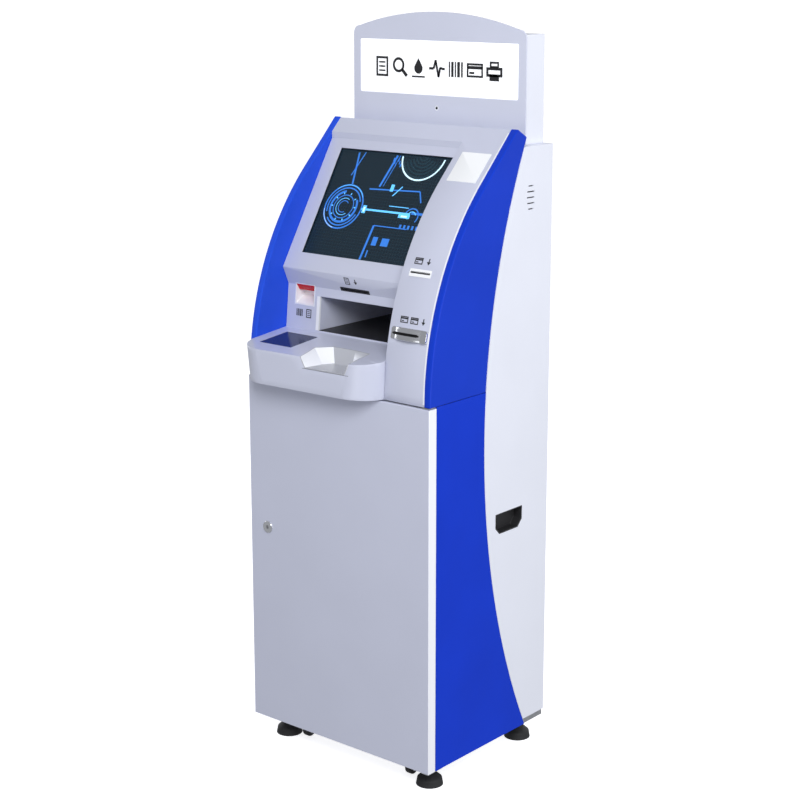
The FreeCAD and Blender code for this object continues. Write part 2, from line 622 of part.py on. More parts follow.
# ---- receipt printer -------------------------------------------------------------------------
roll_radius = 30.0
roll_core, roll_width = 8.5, 79.5
roll_side = 0.75            # beside the roll, in its bucket
roll_y = 268.0
platen_radius, platen_shaft, platen_y = 6.0, 2.5, 186.0
platen_length, platen_shaft_length = 80.0, 98.0
receipt_slot_height, receipt_flange, receipt_flange_back, receipt_stand = 3.6, 3.0, 4.0, 0.6
printer_body_width, printer_body_front = 116.0, 205.0
bucket_back = 31.7          # body behind the roll's space
bucket_floor = 30.7         # body under the roll's space
lid_clearance = 1.0         # roll to the body's top edge
head_front, head_height = 166.0, 50.0
nose_front, nose_low, nose_high = 134.0, 16.0, 32.0
path_width, path_low, path_high = 82.0, 22.0, 26.0
lid_hinge_y, lid_hinge_rise, lid_thickness = 218.0, 4.0, 4.0
lid_barrel_radius, lid_pin_radius = 4.0, 1.5
lid_barrel_length, lid_ear_width = 88.0, 7.5


def make_receipt_bezel():
    x0, x1 = receipt_x, receipt_x + receipt_width
    frame = box(x0 + fit, x1 - fit, -receipt_stand, receipt_flange_back, receipt_start + fit,
                receipt_start + receipt_height - fit)
    flange = box(x0 - receipt_flange, x1 + receipt_flange, thin_sheet, receipt_flange_back,
                 receipt_start - 1.4, receipt_start + receipt_height + 2.2)
    middle = receipt_start + receipt_height / 2
    slot = box(x0 + 4, x1 - 4, -2, 6, middle - receipt_slot_height / 2, middle + receipt_slot_height / 2)
    return on_undercut(fuse(frame, flange).cut(slot))


def make_receipt_printer():
    """Printer on the bay's roof: paper bucket behind, chute to the bezel in front, and its lid."""
    middle = receipt_x + receipt_width / 2
    x0, x1 = middle - printer_body_width / 2, middle + printer_body_width / 2
    floor = bay_roof_z
    roll_z = floor + bucket_floor + gap + roll_radius
    top = roll_z + roll_radius + lid_clearance
    back = roll_y + roll_radius + gap + bucket_back
    body = fuse(box(x0, x1, printer_body_front, back, floor, top),
                box(x0, x1, head_front, printer_body_front + 5, floor, floor + head_height),
                box(receipt_x + over, receipt_x + receipt_width - over, nose_front, head_front + 4,
                    floor + nose_low, floor + nose_high))
    side = roll_width / 2 + roll_side
    bucket = fuse(bar_x(roll_radius + gap, middle - side, middle + side, roll_y, roll_z),
                  box(middle - side, middle + side, roll_y - roll_radius - gap, roll_y + roll_radius + gap,
                      roll_z, top + over))
    paper_path = box(middle - path_width / 2, middle + path_width / 2, nose_front - 4, roll_y - 18,
                     floor + path_low, floor + path_high)
    platen_z = floor + path_high + platen_radius
    groove = fuse(bar_x(platen_radius + gap, middle - path_width / 2, middle + path_width / 2, platen_y, platen_z),
                  bar_x(platen_shaft + running, middle - platen_shaft_length / 2 - over,
                        middle + platen_shaft_length / 2 + over, platen_y, platen_z))
    body = body.cut([bucket, paper_path, groove])
    platen = fuse(bar_x(platen_radius, middle - platen_length / 2, middle + platen_length / 2, platen_y, platen_z),
                  bar_x(platen_shaft, middle - platen_shaft_length / 2, middle + platen_shaft_length / 2,
                        platen_y, platen_z))
    roll = bar_x(roll_radius, middle - roll_width / 2, middle + roll_width / 2, roll_y, roll_z)
    roll = roll.cut(bar_x(roll_core, middle - roll_width, middle + roll_width, roll_y, roll_z))

    hinge_z, pin = top + lid_hinge_rise, lid_pin_radius
    barrel, r = lid_barrel_length / 2, lid_barrel_radius
    lid = box(x0, x1, lid_hinge_y - r, back, top + gap, top + lid_thickness)
    lid = fuse(lid, bar_x(r, middle - barrel, middle + barrel, lid_hinge_y, hinge_z))
    lid = lid.cut(bar_x(pin + running, x0 - over, x1 + over, lid_hinge_y, hinge_z))
    room = barrel + 0.5
    clear = box(middle - room, middle + room, lid_hinge_y - r - 0.5, lid_hinge_y + r + 0.5, top - 6, top + 10)
    pads = [box(a, b, lid_hinge_y - r - over, lid_hinge_y + 7, top - over, top + 10)
            for a, b in ((x0, middle - room), (middle + room, x1))]
    ears = [box(a, a + lid_ear_width, lid_hinge_y - r, lid_hinge_y + r, top - 2, hinge_z + r)
            for a in (middle - room - lid_ear_width, middle + room)]
    pin_reach = room + lid_ear_width - 2
    body = fuse(body.cut(clear), bar_x(pin, middle - pin_reach, middle + pin_reach, lid_hinge_y, hinge_z), *ears)
    return body, lid.cut(pads), platen, roll


# ---- report bay and report printer -----------------------------------------------------------
exit_roller_radius, exit_shaft_radius = 6.0, 3.0
exit_roller_in, exit_roller_lift = 12.0, 1.0        # in front of the bay's back, above its floor
exit_rollers, exit_roller_pitch, exit_roller_width, exit_roller_start = 4, 64.0, 20.0, 40.0
trim_width, trim_lip, trim_stand = 8.0, 1.5, 1.5
mouth_in, mouth_low, mouth_high = 30.0, 8.0, 20.0
printer_x, printer_width = -195.0, 370.0
printer_front, printer_back, printer_corner = 120.0, 440.0, 6.0
cassette_in, cassette_low, cassette_height, cassette_wall = 45.0, 10.0, 58.0, 6.0
cassette_stand, cassette_short = 2.0, 20.0
cassette_grip_in, cassette_grip_low, cassette_grip_height = 90.0, 14.0, 20.0


def make_report_bay():
    """Liner of the outlet: two walls, a roof and a back, with a bright flange on the face."""
    x0, x1 = bay_x, bay_x + bay_width
    z0, z1 = joint_z + bay_rise, joint_z + bay_rise + bay_height
    outer = box(x0 - sheet, x1 + sheet, 0, bay_back_y + sheet, z0, z1 + sheet)
    liner = outer.cut(box(x0, x1, -over, bay_back_y, z0 - over, z1)).common(behind_fascia(-thin_sheet))
    flange = box(x0 - trim_width, x1, -trim_stand, thin_sheet + over, -2, bay_height + 2)
    flange = flange.cut(box(x0 - trim_width - over, x0, -fit, 10, -3, bay_height + 3))
    flange = flange.cut(box(x0 + trim_lip, x1 + over, -5, 10, -0.5, bay_height + 0.5))
    flange = leaned(flange, face_y(bay_rise), z0, face_lean)
    flange = flange.cut([box(x0 - 20, x1 + 20, 0, body_depth, z0 - 20, z0 + gap),
                         box(x0 - 20, x1 + 20, 0, body_depth, z1 - gap, z1 + 20)])
    y, z = bay_back_y - exit_roller_in, z0 + exit_roller_radius + exit_roller_lift
    shaft = bar_x(exit_shaft_radius + running, x0 - 10, x1 + 10, y, z)
    mouth = box(x0 + mouth_in, x1 - mouth_in, bay_back_y - over, bay_back_y + sheet + over, z0 + mouth_low,
                z0 + mouth_high)
    rollers = [bar_x(exit_shaft_radius, x0 - sheet - 2, x1 + sheet + 2, y, z)]
    for i in range(exit_rollers):
        start = x0 + exit_roller_start + exit_roller_pitch * i
        rollers.append(bar_x(exit_roller_radius, start, start + exit_roller_width, y, z))
    return liner.cut([shaft, mouth]), fuse(*rollers), flange


def make_report_printer():
    """A4 printer on the shelf under the bay, hollow over its cassette, and the cassette."""
    x0, x1 = printer_x, printer_x + printer_width
    top = joint_z + bay_rise - gap
    body = box(x0, x1, printer_front, printer_back, shelf_z, top)
    body = body.makeFillet(printer_corner, upright_edges(body))
    cx0, cx1 = x0 + cassette_in, x1 - cassette_in
    z0, z1 = shelf_z + cassette_low, shelf_z + cassette_low + cassette_height
    front = printer_front
    body = body.cut(box(cx0, cx1, front - over, printer_back - cassette_short, z0, z1))
    body = body.cut(box(x0 + 60, x1 - 60, front - over, front + 4, z1 + 20, top - 40))
    body = body.cut(box(x0 + 15, x1 - 15, front + 40, printer_back + over, z1 + 12, top - 12))
    back = printer_back - 2 * cassette_short
    tray = box(cx0 + gap, cx1 - gap, front - cassette_stand, back, z0 + gap, z1 - gap)
    tray = tray.cut(box(cx0 + cassette_wall, cx1 - cassette_wall, front + cassette_wall + 2, back - cassette_wall,
                        z0 + cassette_wall - over, z1 + over))
    grip = box(cx0 + cassette_grip_in, cx1 - cassette_grip_in, front - cassette_stand - over, front + 5,
               z0 + cassette_grip_low, z0 + cassette_grip_low + cassette_grip_height)
    return body, tray.cut(grip)


# ---- card readers, notice plate --------------------------------------------------------------
card_plate_stand, card_plate_corner = 1.6, 1.5
card_reader_width, card_reader_height, card_reader_depth = 66.0, 40.0, 110.0
bank_stand, bank_edge_stand = 11.0, 7.0         # bezel's middle and its flat right end
bank_bulge_radius, bank_flat_start = 90.0, 28.0
bank_corner, bank_chamfer = 6.0, 1.2
bank_slot_width, bank_slot_height, bank_slot_shift = 76.0, 3.6, -12.0
bank_notch_width, bank_notch_height, bank_notch_depth = 24.0, 18.0, 4.5
bank_throat_corner, bank_throat_depth = 3.5, 7.0
shutter_front, shutter_back, shutter_half = 4.5, 6.7, 49.0
shutter_low, shutter_height, shutter_travel = -4.2, 6.1, 6.6
bank_reader_width, bank_reader_depth, bank_reader_low, bank_reader_high = 104.0, 110.0, -22.0, 42.0
bank_path_width, bank_path_height = 60.0, 3.0
notice_width, notice_height, notice_rise, notice_offset = 83.0, 85.0, 510.0, 60.0
notice_stand = 1.2


def make_card_readers():
    """Upper reader with its white plate; lower motor reader with bezel and shutter."""
    plate = rounded_plate(card_plate_width, card_plate_height, card_plate_corner, -card_plate_stand, -fit)
    slot_half, slot_z = card_slot_width / 2, card_slot_height / 2
    slot = box(-slot_half, slot_half, -10, 90, -slot_z, slot_z)
    nose = box(-slot_half - card_nose_wall, slot_half + card_nose_wall, -fit, thin_sheet + 2,
               -card_nose_height / 2, card_nose_height / 2)
    upper = box(-card_reader_width / 2, card_reader_width / 2, thin_sheet + over, card_reader_depth,
                -card_reader_height / 2, card_reader_height / 2)
    plate, upper = (on_column(moved(s, x=card_x), card_plate_rise)
                    for s in (plate.cut(slot), fuse(upper, nose).cut(slot)))

    face = rounded_plate(bank_bezel_width, bank_bezel_height, bank_corner, -bank_stand, -gap)
    tall = bank_bezel_height
    bulge = cylinder(bank_bulge_radius, 0, bank_bulge_radius - bank_stand, -tall, (0, 0, 1), 2 * tall)
    flat = box(bank_flat_start, bank_bezel_width / 2 + over, -bank_edge_stand, 0, -tall, tall)
    face = face.common(fuse(bulge, flat))
    face = face.makeChamfer(bank_chamfer, [e for e in face.Edges if max(v.Y for v in e.Vertexes) < -5
                                           and e.Length > 20][:2])
    throat = rounded_plate(bank_bezel_width - 2 * bank_throat_inset, bank_bezel_height - 2 * bank_throat_inset,
                           bank_throat_corner, -0.5, bank_throat_depth)
    shift = bank_slot_shift
    slot = box(shift - bank_slot_width / 2, shift + bank_slot_width / 2, -20, 20, -bank_slot_height / 2,
               bank_slot_height / 2)
    notch = box(shift - bank_notch_width / 2, shift + bank_notch_width / 2, -20, bank_notch_depth - bank_stand,
                -bank_notch_height / 2, bank_notch_height / 2)
    room = box(-shutter_half, shutter_half, shutter_front, bank_throat_depth + over, shutter_low - gap,
               shutter_low + shutter_height + shutter_travel + gap)
    bezel = fuse(face, throat).cut([slot, notch]).cut(room)
    shutter = box(-shutter_half + gap, shift + bank_slot_width / 2 + bank_corner, shutter_front + gap, shutter_back,
                  shutter_low, shutter_low + shutter_height)
    reader = box(-bank_reader_width / 2, bank_reader_width / 2, bank_throat_depth, bank_reader_depth,
                 bank_reader_low, bank_reader_high)
    path = box(shift - bank_path_width / 2, shift + bank_path_width / 2, 5, bank_reader_depth + 10,
               -bank_path_height / 2, bank_path_height / 2)
    bezel, shutter, reader = (on_column(moved(s, x=bank_x), bank_rise)
                              for s in (bezel, shutter, reader.cut(path)))
    return plate, upper, bezel, shutter, reader


def make_notice_plate():
    plate = rounded_plate(notice_width, notice_height, 1.0, -notice_stand, 0)
    return on_column(moved(plate, x=column_x + notice_offset), notice_rise)


# ---- header ----------------------------------------------------------------------------------
header_width = 526.0
header_arch, header_shoulder = 36.0, 20.0
sign_width, sign_height, sign_rise, sign_corner = 481.0, 129.0, 102.3, 5.0
sign_sink, sign_lip, sign_lip_thickness = 0.4, 8.0, 2.5
cable_hole_width, cable_hole_y, cable_hole_length = 60.0, 20.0, 30.0
tube_radius, tube_length, tube_spread, tube_from_back = 8.0, 450.0, 32.0, 14.0
socket_length, socket_half = 12.0, 9.0
camera_rise, lens_radius, lens_sink = 74.0, 2.0, 0.5
barrel_radius, barrel_length = 7.0, 12.0
board_width, board_thickness, board_low, board_high = 38.0, 3.0, 12.0, 9.0
post_radius, post_x, post_low = 2.0, 15.0, 9.0


def make_header_plate(opening):
    """The plate's outline: square foot, rounded shoulders and a shallow arch."""
    side, shoulder_z, y, low = header_width / 2, header_z - header_arch, header_y, housing_z
    r = header_shoulder
    turn = r * (1 - math.cos(math.radians(45)))
    at = [Vector(-side, y, low), Vector(-side, y, shoulder_z - r), Vector(-side + r, y, shoulder_z),
          Vector(side - r, y, shoulder_z), Vector(side, y, shoulder_z - r), Vector(side, y, low)]
    edges = [Part.LineSegment(at[0], at[1]),
             Part.Arc(at[1], Vector(-side + turn, y, shoulder_z - turn), at[2]),
             Part.Arc(at[2], Vector(0, y, header_z), at[3]),
             Part.Arc(at[3], Vector(side - turn, y, shoulder_z - turn), at[4]),
             Part.LineSegment(at[4], at[5]), Part.LineSegment(at[5], at[0])]
    plate = Part.Face(Part.Wire([e.toShape() for e in edges])).extrude(Vector(0, sheet, 0))
    pinhole = cylinder(lens_radius, 0, y - over, housing_z + camera_rise, (0, 1, 0), sheet + 2 * over)
    return plate.cut([opening, pinhole])


def make_tubes(back_y, middle_z):
    """Two tubes, each between two sockets that stand on the light box's back."""
    solids, tube_half = [], tube_length / 2
    y = back_y - tube_from_back
    for z in (middle_z - tube_spread, middle_z + tube_spread):
        sockets = []
        for end in (-tube_half, tube_half):
            xs = sorted([end, end - math.copysign(socket_length, end)])
            sockets.append(box(xs[0], xs[1], y - socket_half, back_y, z - socket_half, z + socket_half))
        solids += [bar_x(tube_radius, -tube_half, tube_half, y, z).cut(sockets)] + sockets
    return solids


def make_header():
    """Arched plate, lit sign panel, light box, tubes and the camera above the screen."""
    y, low = header_y, housing_z
    middle_z, camera_z = low + sign_rise + sign_height / 2, low + camera_rise
    window = rounded_plate(sign_width, sign_height, sign_corner, y - over, y + sheet + over)
    plate = make_header_plate(moved(window, z=middle_z))
    front = rounded_plate(sign_width - 2 * gap, sign_height - 2 * gap, sign_corner - gap, y + sign_sink,
                          y + sheet + fit)
    lip = rounded_plate(sign_width + 2 * sign_lip, sign_height + 2 * sign_lip, sign_corner, y + sheet,
                        y + sheet + sign_lip_thickness)
    sign = moved(fuse(front, lip), z=middle_z)

    w, high = header_box_width / 2, low + header_box_height
    y0, y1 = y + sheet, y + sheet + header_box_depth
    hole_y = y0 + cable_hole_y
    light_box = box(-w, w, y0, y1, low, high)
    light_box = light_box.cut([box(-w + sheet, w - sheet, y0 - over, y1 - sheet, low + sheet, high - sheet),
                               box(-cable_hole_width / 2, cable_hole_width / 2, hole_y, hole_y + cable_hole_length,
                                   low - over, low + sheet + over)])

    board_y = y0 + barrel_length
    lens = cylinder(lens_radius - running, 0, y + lens_sink, camera_z, (0, 1, 0), sheet)
    barrel = cylinder(barrel_radius, 0, y0, camera_z, (0, 1, 0), barrel_length)
    board = box(-board_width / 2, board_width / 2, board_y, board_y + board_thickness, camera_z - board_low,
                camera_z + board_high)
    posts = [cylinder(post_radius, x, y0, camera_z - post_low, (0, 1, 0), barrel_length)
             for x in (-post_x, post_x)]
    return plate, sign, light_box, make_tubes(y1 - sheet, middle_z), fuse(lens, barrel, board, *posts)


# ---- doors, locks, pivots --------------------------------------------------------------------
lock_x, lock_rise = -223.0, 499.0       # above the cabinet's underside
lock_length, cam_clearance = 24.0, 0.5
door_back_radius, door_edge_radius, door_lip = 4.0, 1.5, 14.0
pivot_notch, pivot_plate_left, pivot_plate_right = 9.0, 15.0, 4.5
pivot_pin_length = 14.0
key_width, key_height, key_depth = 1.2, 7.0, 4.0
rear_lock_x, rear_lock_rise = -178.0, 740.0
rear_cam_clearance = 0.4
rear_hem, rear_hem_start = 12.0, 60.0
rear_vents, rear_vent_width, rear_vent_height, rear_vent_pitch, rear_vent_rise = 9, 180.0, 5.0, 14.0, 60.0


def make_front_door():
    """A folded door: skin, returned edges and lips, notched round its pivots and bored for the lock."""
    z0, z1 = base_z + door_low_gap, joint_z - door_top_gap
    door = box(-half, half, 0, door_depth, z0, z1)
    back = [e for e in upright_edges(door) if e.Vertexes[0].Y > over]
    door = door.makeFillet(door_back_radius, back)
    door = door.makeFillet(door_edge_radius, [e for e in door.Edges if e.Length > 400
                                              and max(v.Y for v in e.Vertexes) < 1e-3])
    t, lip = thin_sheet, door_lip
    hollow = box(-half + t, half - t, t, door_depth + over, z0 + t, z1 - t)
    lips = box(-half + t, half - t, door_depth - t, door_depth, z0 + t, z1 - t)
    lips = lips.cut(box(-half + lip, half - lip, 0, door_depth + over, z0 + lip, z1 - lip))
    pivot_x = half - pivot_x_in
    lips = lips.cut(box(pivot_x - pivot_notch, half, 0, door_depth + over, z0, z1))
    door = fuse(door.cut(hollow), lips.common(door))
    bolt = cylinder(lock_barrel_radius, lock_x, -5, base_z + lock_rise, (0, 1, 0), 20)
    pins = cylinder(pivot_radius + running, pivot_x, pivot_y, z0 - over, (0, 0, 1), z1 - z0 + 2 * over)
    return door.cut([bolt, pins])


def make_door_pivots():
    """Top and bottom pivot plates on the frame, each with the pin that the door turns on."""
    pivot_x = half - pivot_x_in
    x0, x1 = pivot_x - pivot_plate_left, pivot_x + pivot_plate_right
    plates = []
    for z0, z1, tip in ((rail_top_z + gap, joint_z, -1), (base_z - sheet, base_z, 1)):
        plate = box(x0, x1, cheek_set_back, frame_y + bar, z0, z1)
        start = z0 if tip < 0 else z1
        plates.append(fuse(plate, cylinder(pivot_radius, pivot_x, pivot_y, start, (0, 0, tip), pivot_pin_length)))
    plates[0] = fuse(plates[0], box(x0, x1, frame_y + over, frame_y + bar, rail_top_z, rail_top_z + gap))
    return plates


def make_lock(x, z, front, inside, barrel_back, cam_gap, flange):
    """A cam lock: escutcheon with its barrel, and the core that carries the key slot and the cam."""
    out = -1 if inside > 0 else 1
    barrel = cylinder(lock_barrel_radius, x, front, z, (0, inside, 0), barrel_back)
    if flange:
        ring = cylinder(lock_flange_radius, x, front, z, (0, out, 0), flange)
        ring = ring.makeChamfer(1.0, [e for e in ring.Edges if abs(e.BoundBox.YMax - front - out * flange) < 1e-3
                                      and e.BoundBox.YLength < 1e-3])
        barrel = fuse(barrel, ring)
    bore = cylinder(lock_core_radius + running, x, front - 50, z, (0, 1, 0), 100)
    face = front + out * flange
    cam_y = front + inside * cam_gap
    core = cylinder(lock_core_radius, x, face, z, (0, inside, 0), abs(cam_y - face) + cam_thickness)
    key = box(x - key_width / 2, x + key_width / 2, face - key_depth, face + key_depth, z - key_height / 2,
              z + key_height / 2)
    ys = sorted([cam_y, cam_y + inside * cam_thickness])
    cam = box(x - cam_width / 2, x + cam_width / 2, ys[0], ys[1], z - cam_length, z + cam_width / 2)
    return barrel.cut(bore), fuse(core, cam).cut(key)


def make_rear_door():
    low, high = rear_opening_low + gap, rear_opening_high - gap
    x0, x1 = -rear_opening_width / 2 + gap, rear_pivot_x + rear_pivot_in
    door = box(x0, x1, frame_back_y, body_depth, low, high)
    for z0 in (low, high - thin_sheet):
        door = door.fuse(box(x0 + rear_hem_start, x1, frame_back_y - rear_hem, frame_back_y, z0, z0 + thin_sheet))
    door = door.removeSplitter()
    length = rear_pin_length + 2 * over
    pins = [cylinder(rear_pin_radius + running, rear_pivot_x, rear_pivot_y, z, (0, 0, 1), length)
            for z in (low - over, high + over - length)]
    hole = cylinder(lock_barrel_radius, rear_lock_x, frame_back_y - 5, base_z + rear_lock_rise, (0, 1, 0), 10)
    vents = []
    for i in range(rear_vents):
        z = low + rear_vent_rise + rear_vent_pitch * i
        vents.append(box(-rear_vent_width / 2, rear_vent_width / 2, frame_back_y - over, body_depth + over, z,
                         z + rear_vent_height))
    return door.cut(pins + [hole] + vents)


# ---- feet, casters, handles ------------------------------------------------------------------
foot_radius, foot_base, foot_dome, foot_neck, foot_draft = 32.5, 16.0, 12.0, 16.0, 3.0
stem_start, stem_top = 20.0, 24.0       # the stem ends that far above the underside
nut_radius, nut_height = 9.0, 8.7
caster_x, caster_y = 167.0, 78.0
wheel_radius, wheel_width, wheel_lift, wheel_edge = 18.0, 16.0, 4.0, 2.5
axle_radius, fork_gap, fork_thickness, fork_top, fork_foot = 3.0, 1.5, 2.5, 14.0, 7.0
caster_plate, caster_plate_width = 3.0, 40.0
handle_depth, handle_wall, handle_sink = 26.0, 3.0, 0.5


def make_foot(x, y):
    base = Part.makeCone(foot_radius, foot_radius - foot_draft, foot_base, Vector(x, y, 0), Vector(0, 0, 1))
    dome = Part.makeCone(foot_radius - foot_draft, foot_neck, foot_dome, Vector(x, y, foot_base), Vector(0, 0, 1))
    stem = cylinder(stem_radius, x, y, stem_start, (0, 0, 1), base_z + stem_top - stem_start)
    low = base_z - gap - nut_height
    turns = [math.radians(60 * i) for i in range(6)]
    corners = [(x + nut_radius * math.cos(a), y + nut_radius * math.sin(a), low) for a in turns]
    nut = Part.Face(polygon(corners)).extrude(Vector(0, 0, nut_height)).cut(stem)
    return fuse(base, dome, stem), nut


def make_caster(x):
    axle_z = wheel_lift + wheel_radius
    w, low = caster_plate_width / 2, base_z - caster_plate
    top = box(x - w, x + w, caster_y - w, caster_y + w, low, base_z)
    inside, reach = wheel_width / 2 + fork_gap, wheel_width / 2 + fork_gap + fork_thickness
    legs = []
    for side in (-1, 1):
        xs = sorted([x + side * inside, x + side * reach])
        legs.append(prism_x([(caster_y - fork_top, low), (caster_y - fork_foot, axle_z - fork_foot),
                             (caster_y + fork_foot, axle_z - fork_foot), (caster_y + fork_top, low)], xs[0], xs[1]))
    axle = bar_x(axle_radius, x - reach, x + reach, caster_y, axle_z)
    wheel = bar_x(wheel_radius, x - wheel_width / 2, x + wheel_width / 2, caster_y, axle_z)
    wheel = wheel.makeFillet(wheel_edge, [e for e in wheel.Edges if e.BoundBox.XLength < 1e-3])
    wheel = wheel.cut(bar_x(axle_radius + running, x - wheel_width, x + wheel_width, caster_y, axle_z))
    return fuse(top, axle, *legs), wheel


def make_handle():
    back = half - handle_depth
    cup = prism_x(handle_outline(-fit), back, half - handle_sink)
    return cup.cut(prism_x(handle_outline(-handle_wall), back + handle_wall, half + over))


# ---- fan, computer, power inlet --------------------------------------------------------------
fan_rise, fan_size, fan_depth, fan_bore = 434.0, 60.0, 25.0, 28.0
fan_hub, fan_hub_depth, fan_spoke, fan_spoke_depth = 13.0, 4.0, 4.0, 3.0
fan_pin, fan_pin_length = 2.0, 20.0
rotor_hub, rotor_depth, rotor_radius, rotor_gap = 12.0, 18.0, 27.0, 0.4
blades, blade_thickness, blade_pitch = 7, 2.0, 35.0
computer_x, computer_y, computer_width, computer_depth, computer_height = -190.0, 250.0, 280.0, 160.0, 95.0
computer_wall, computer_roof, computer_fins, fin_pitch, fin_gap, fin_cut = 2.0, 15.0, 12, 12.0, 5.0, 12.0
inlet_depth, inlet_flange, inlet_flange_thickness = 26.0, 4.0, 3.0
socket_width, socket_height, socket_depth = 26.0, 17.0, 18.0
blade_width, blade_height, blade_reach = 2.0, 6.0, 10.0
blade_places = ((-7, -2), (0, 2), (7, -2))          # (x, z) from the socket's middle
rocker_offset, rocker_width, rocker_radius, rocker_in = 38.0, 14.0, 10.0, 8.0
rocker_pin, rocker_pin_length = 1.5, 20.0
rocker_low, rocker_middle, rocker_high = 5.5, 4.5, 7.5      # how far each end and the middle stand out


def make_fan():
    """Exhaust fan behind the right-hand vents."""
    y, z, size = vent_y, joint_z + fan_rise, fan_size / 2
    x1 = inner
    x0 = x1 - fan_depth
    housing = box(x0, x1, y - size, y + size, z - size, z + size).cut(bar_x(fan_bore, x0 - over, x1 + over, y, z))
    reach, thick = fan_bore + over, fan_spoke / 2
    spokes = [box(x0, x0 + fan_spoke_depth, y - reach, y + reach, z - thick, z + thick),
              box(x0, x0 + fan_spoke_depth, y - thick, y + thick, z - reach, z + reach)]
    housing = fuse(housing, bar_x(fan_hub, x0, x0 + fan_hub_depth, y, z),
                   bar_x(fan_pin, x0, x0 + fan_pin_length, y, z), *spokes)
    front = x0 + fan_hub_depth + rotor_gap
    rotor = bar_x(rotor_hub, front, front + rotor_depth, y, z)
    middle = x0 + fan_hub_depth + rotor_depth / 2
    for i in range(blades):
        blade = box(middle - 8, middle + 8, y - blade_thickness / 2, y + blade_thickness / 2, z,
                    z + rotor_radius - 0.5)
        blade.rotate(Vector(middle, y, z + rotor_radius / 2), Vector(0, 0, 1), blade_pitch)
        blade.rotate(Vector(0, y, z), Vector(1, 0, 0), 360 / blades * i)
        rotor = rotor.fuse(blade)
    rotor = rotor.common(bar_x(rotor_radius, front, front + rotor_depth, y, z))
    return housing, rotor.cut(bar_x(fan_pin + running, x0, x1 + fan_depth, y, z)).removeSplitter()


def make_computer():
    """A flat computer case on the base plate, with cooling fins across its thick lid."""
    x0, x1 = computer_x, computer_x + computer_width
    y0, y1 = computer_y, computer_y + computer_depth
    z0 = base_z + bar + base_plate_thickness
    z1, t = z0 + computer_height, computer_wall
    body = box(x0, x1, y0, y1, z0, z1).cut(box(x0 + t, x1 - t, y0 + t, y1 - t, z0 - over, z1 - computer_roof))
    for i in range(computer_fins):
        y = y0 + fin_pitch * (i + 1)
        body = body.cut(box(x0 + 10, x1 - 10, y, y + fin_gap, z1 - fin_cut, z1 + over))
    return body


def make_power():
    """Power inlet and switch module in the back, with its rocker."""
    z0, z1 = inlet_z - inlet_height / 2, inlet_z + inlet_height / 2
    x0, x1, flange = inlet_x - inlet_left, inlet_x + inlet_right, inlet_flange
    module = box(x0 + fit, x1 - fit, frame_back_y - inlet_depth, body_depth, z0 + fit, z1 - fit)
    module = fuse(module, box(x0 - flange, x1 + flange, frame_back_y - inlet_flange_thickness, frame_back_y,
                              z0 - flange, z1 + flange))
    socket_floor = body_depth - socket_depth
    socket = box(inlet_x - socket_width / 2, inlet_x + socket_width / 2, socket_floor, body_depth + over,
                 inlet_z - socket_height / 2, inlet_z + socket_height / 2)
    pins = [box(inlet_x + dx - blade_width / 2, inlet_x + dx + blade_width / 2, socket_floor - over,
                socket_floor + blade_reach, inlet_z + dz - blade_height / 2, inlet_z + dz + blade_height / 2)
            for dx, dz in blade_places]
    x, y, r = inlet_x + rocker_offset, body_depth - rocker_in, rocker_radius
    w, tall = rocker_width / 2, rocker_radius + 2
    well = bar_x(r + gap, x - w - gap, x + w + gap, y, inlet_z)
    well = well.fuse(box(x - w - gap, x + w + gap, y, body_depth + over, inlet_z - r - gap, inlet_z + r + gap))
    pin = bar_x(rocker_pin, x - rocker_pin_length / 2, x + rocker_pin_length / 2, y, inlet_z)
    module = fuse(module.cut([socket, well]), pin, *pins)
    outline = [(y + 2, inlet_z - tall), (y + 2, inlet_z + tall), (y + rocker_low, inlet_z + tall),
               (y + rocker_middle, inlet_z), (y + rocker_high, inlet_z - tall)]
    below = box(x - w - over, x + w + over, y - 7, y + 2.5, inlet_z - tall, inlet_z + tall)
    rocker = bar_x(r, x - w, x + w, y, inlet_z).common(fuse(prism_x(outline, x - w - over, x + w + over), below))
    return module, rocker.cut(bar_x(rocker_pin + running, x - w - 5, x + w + 5, y, inlet_z))


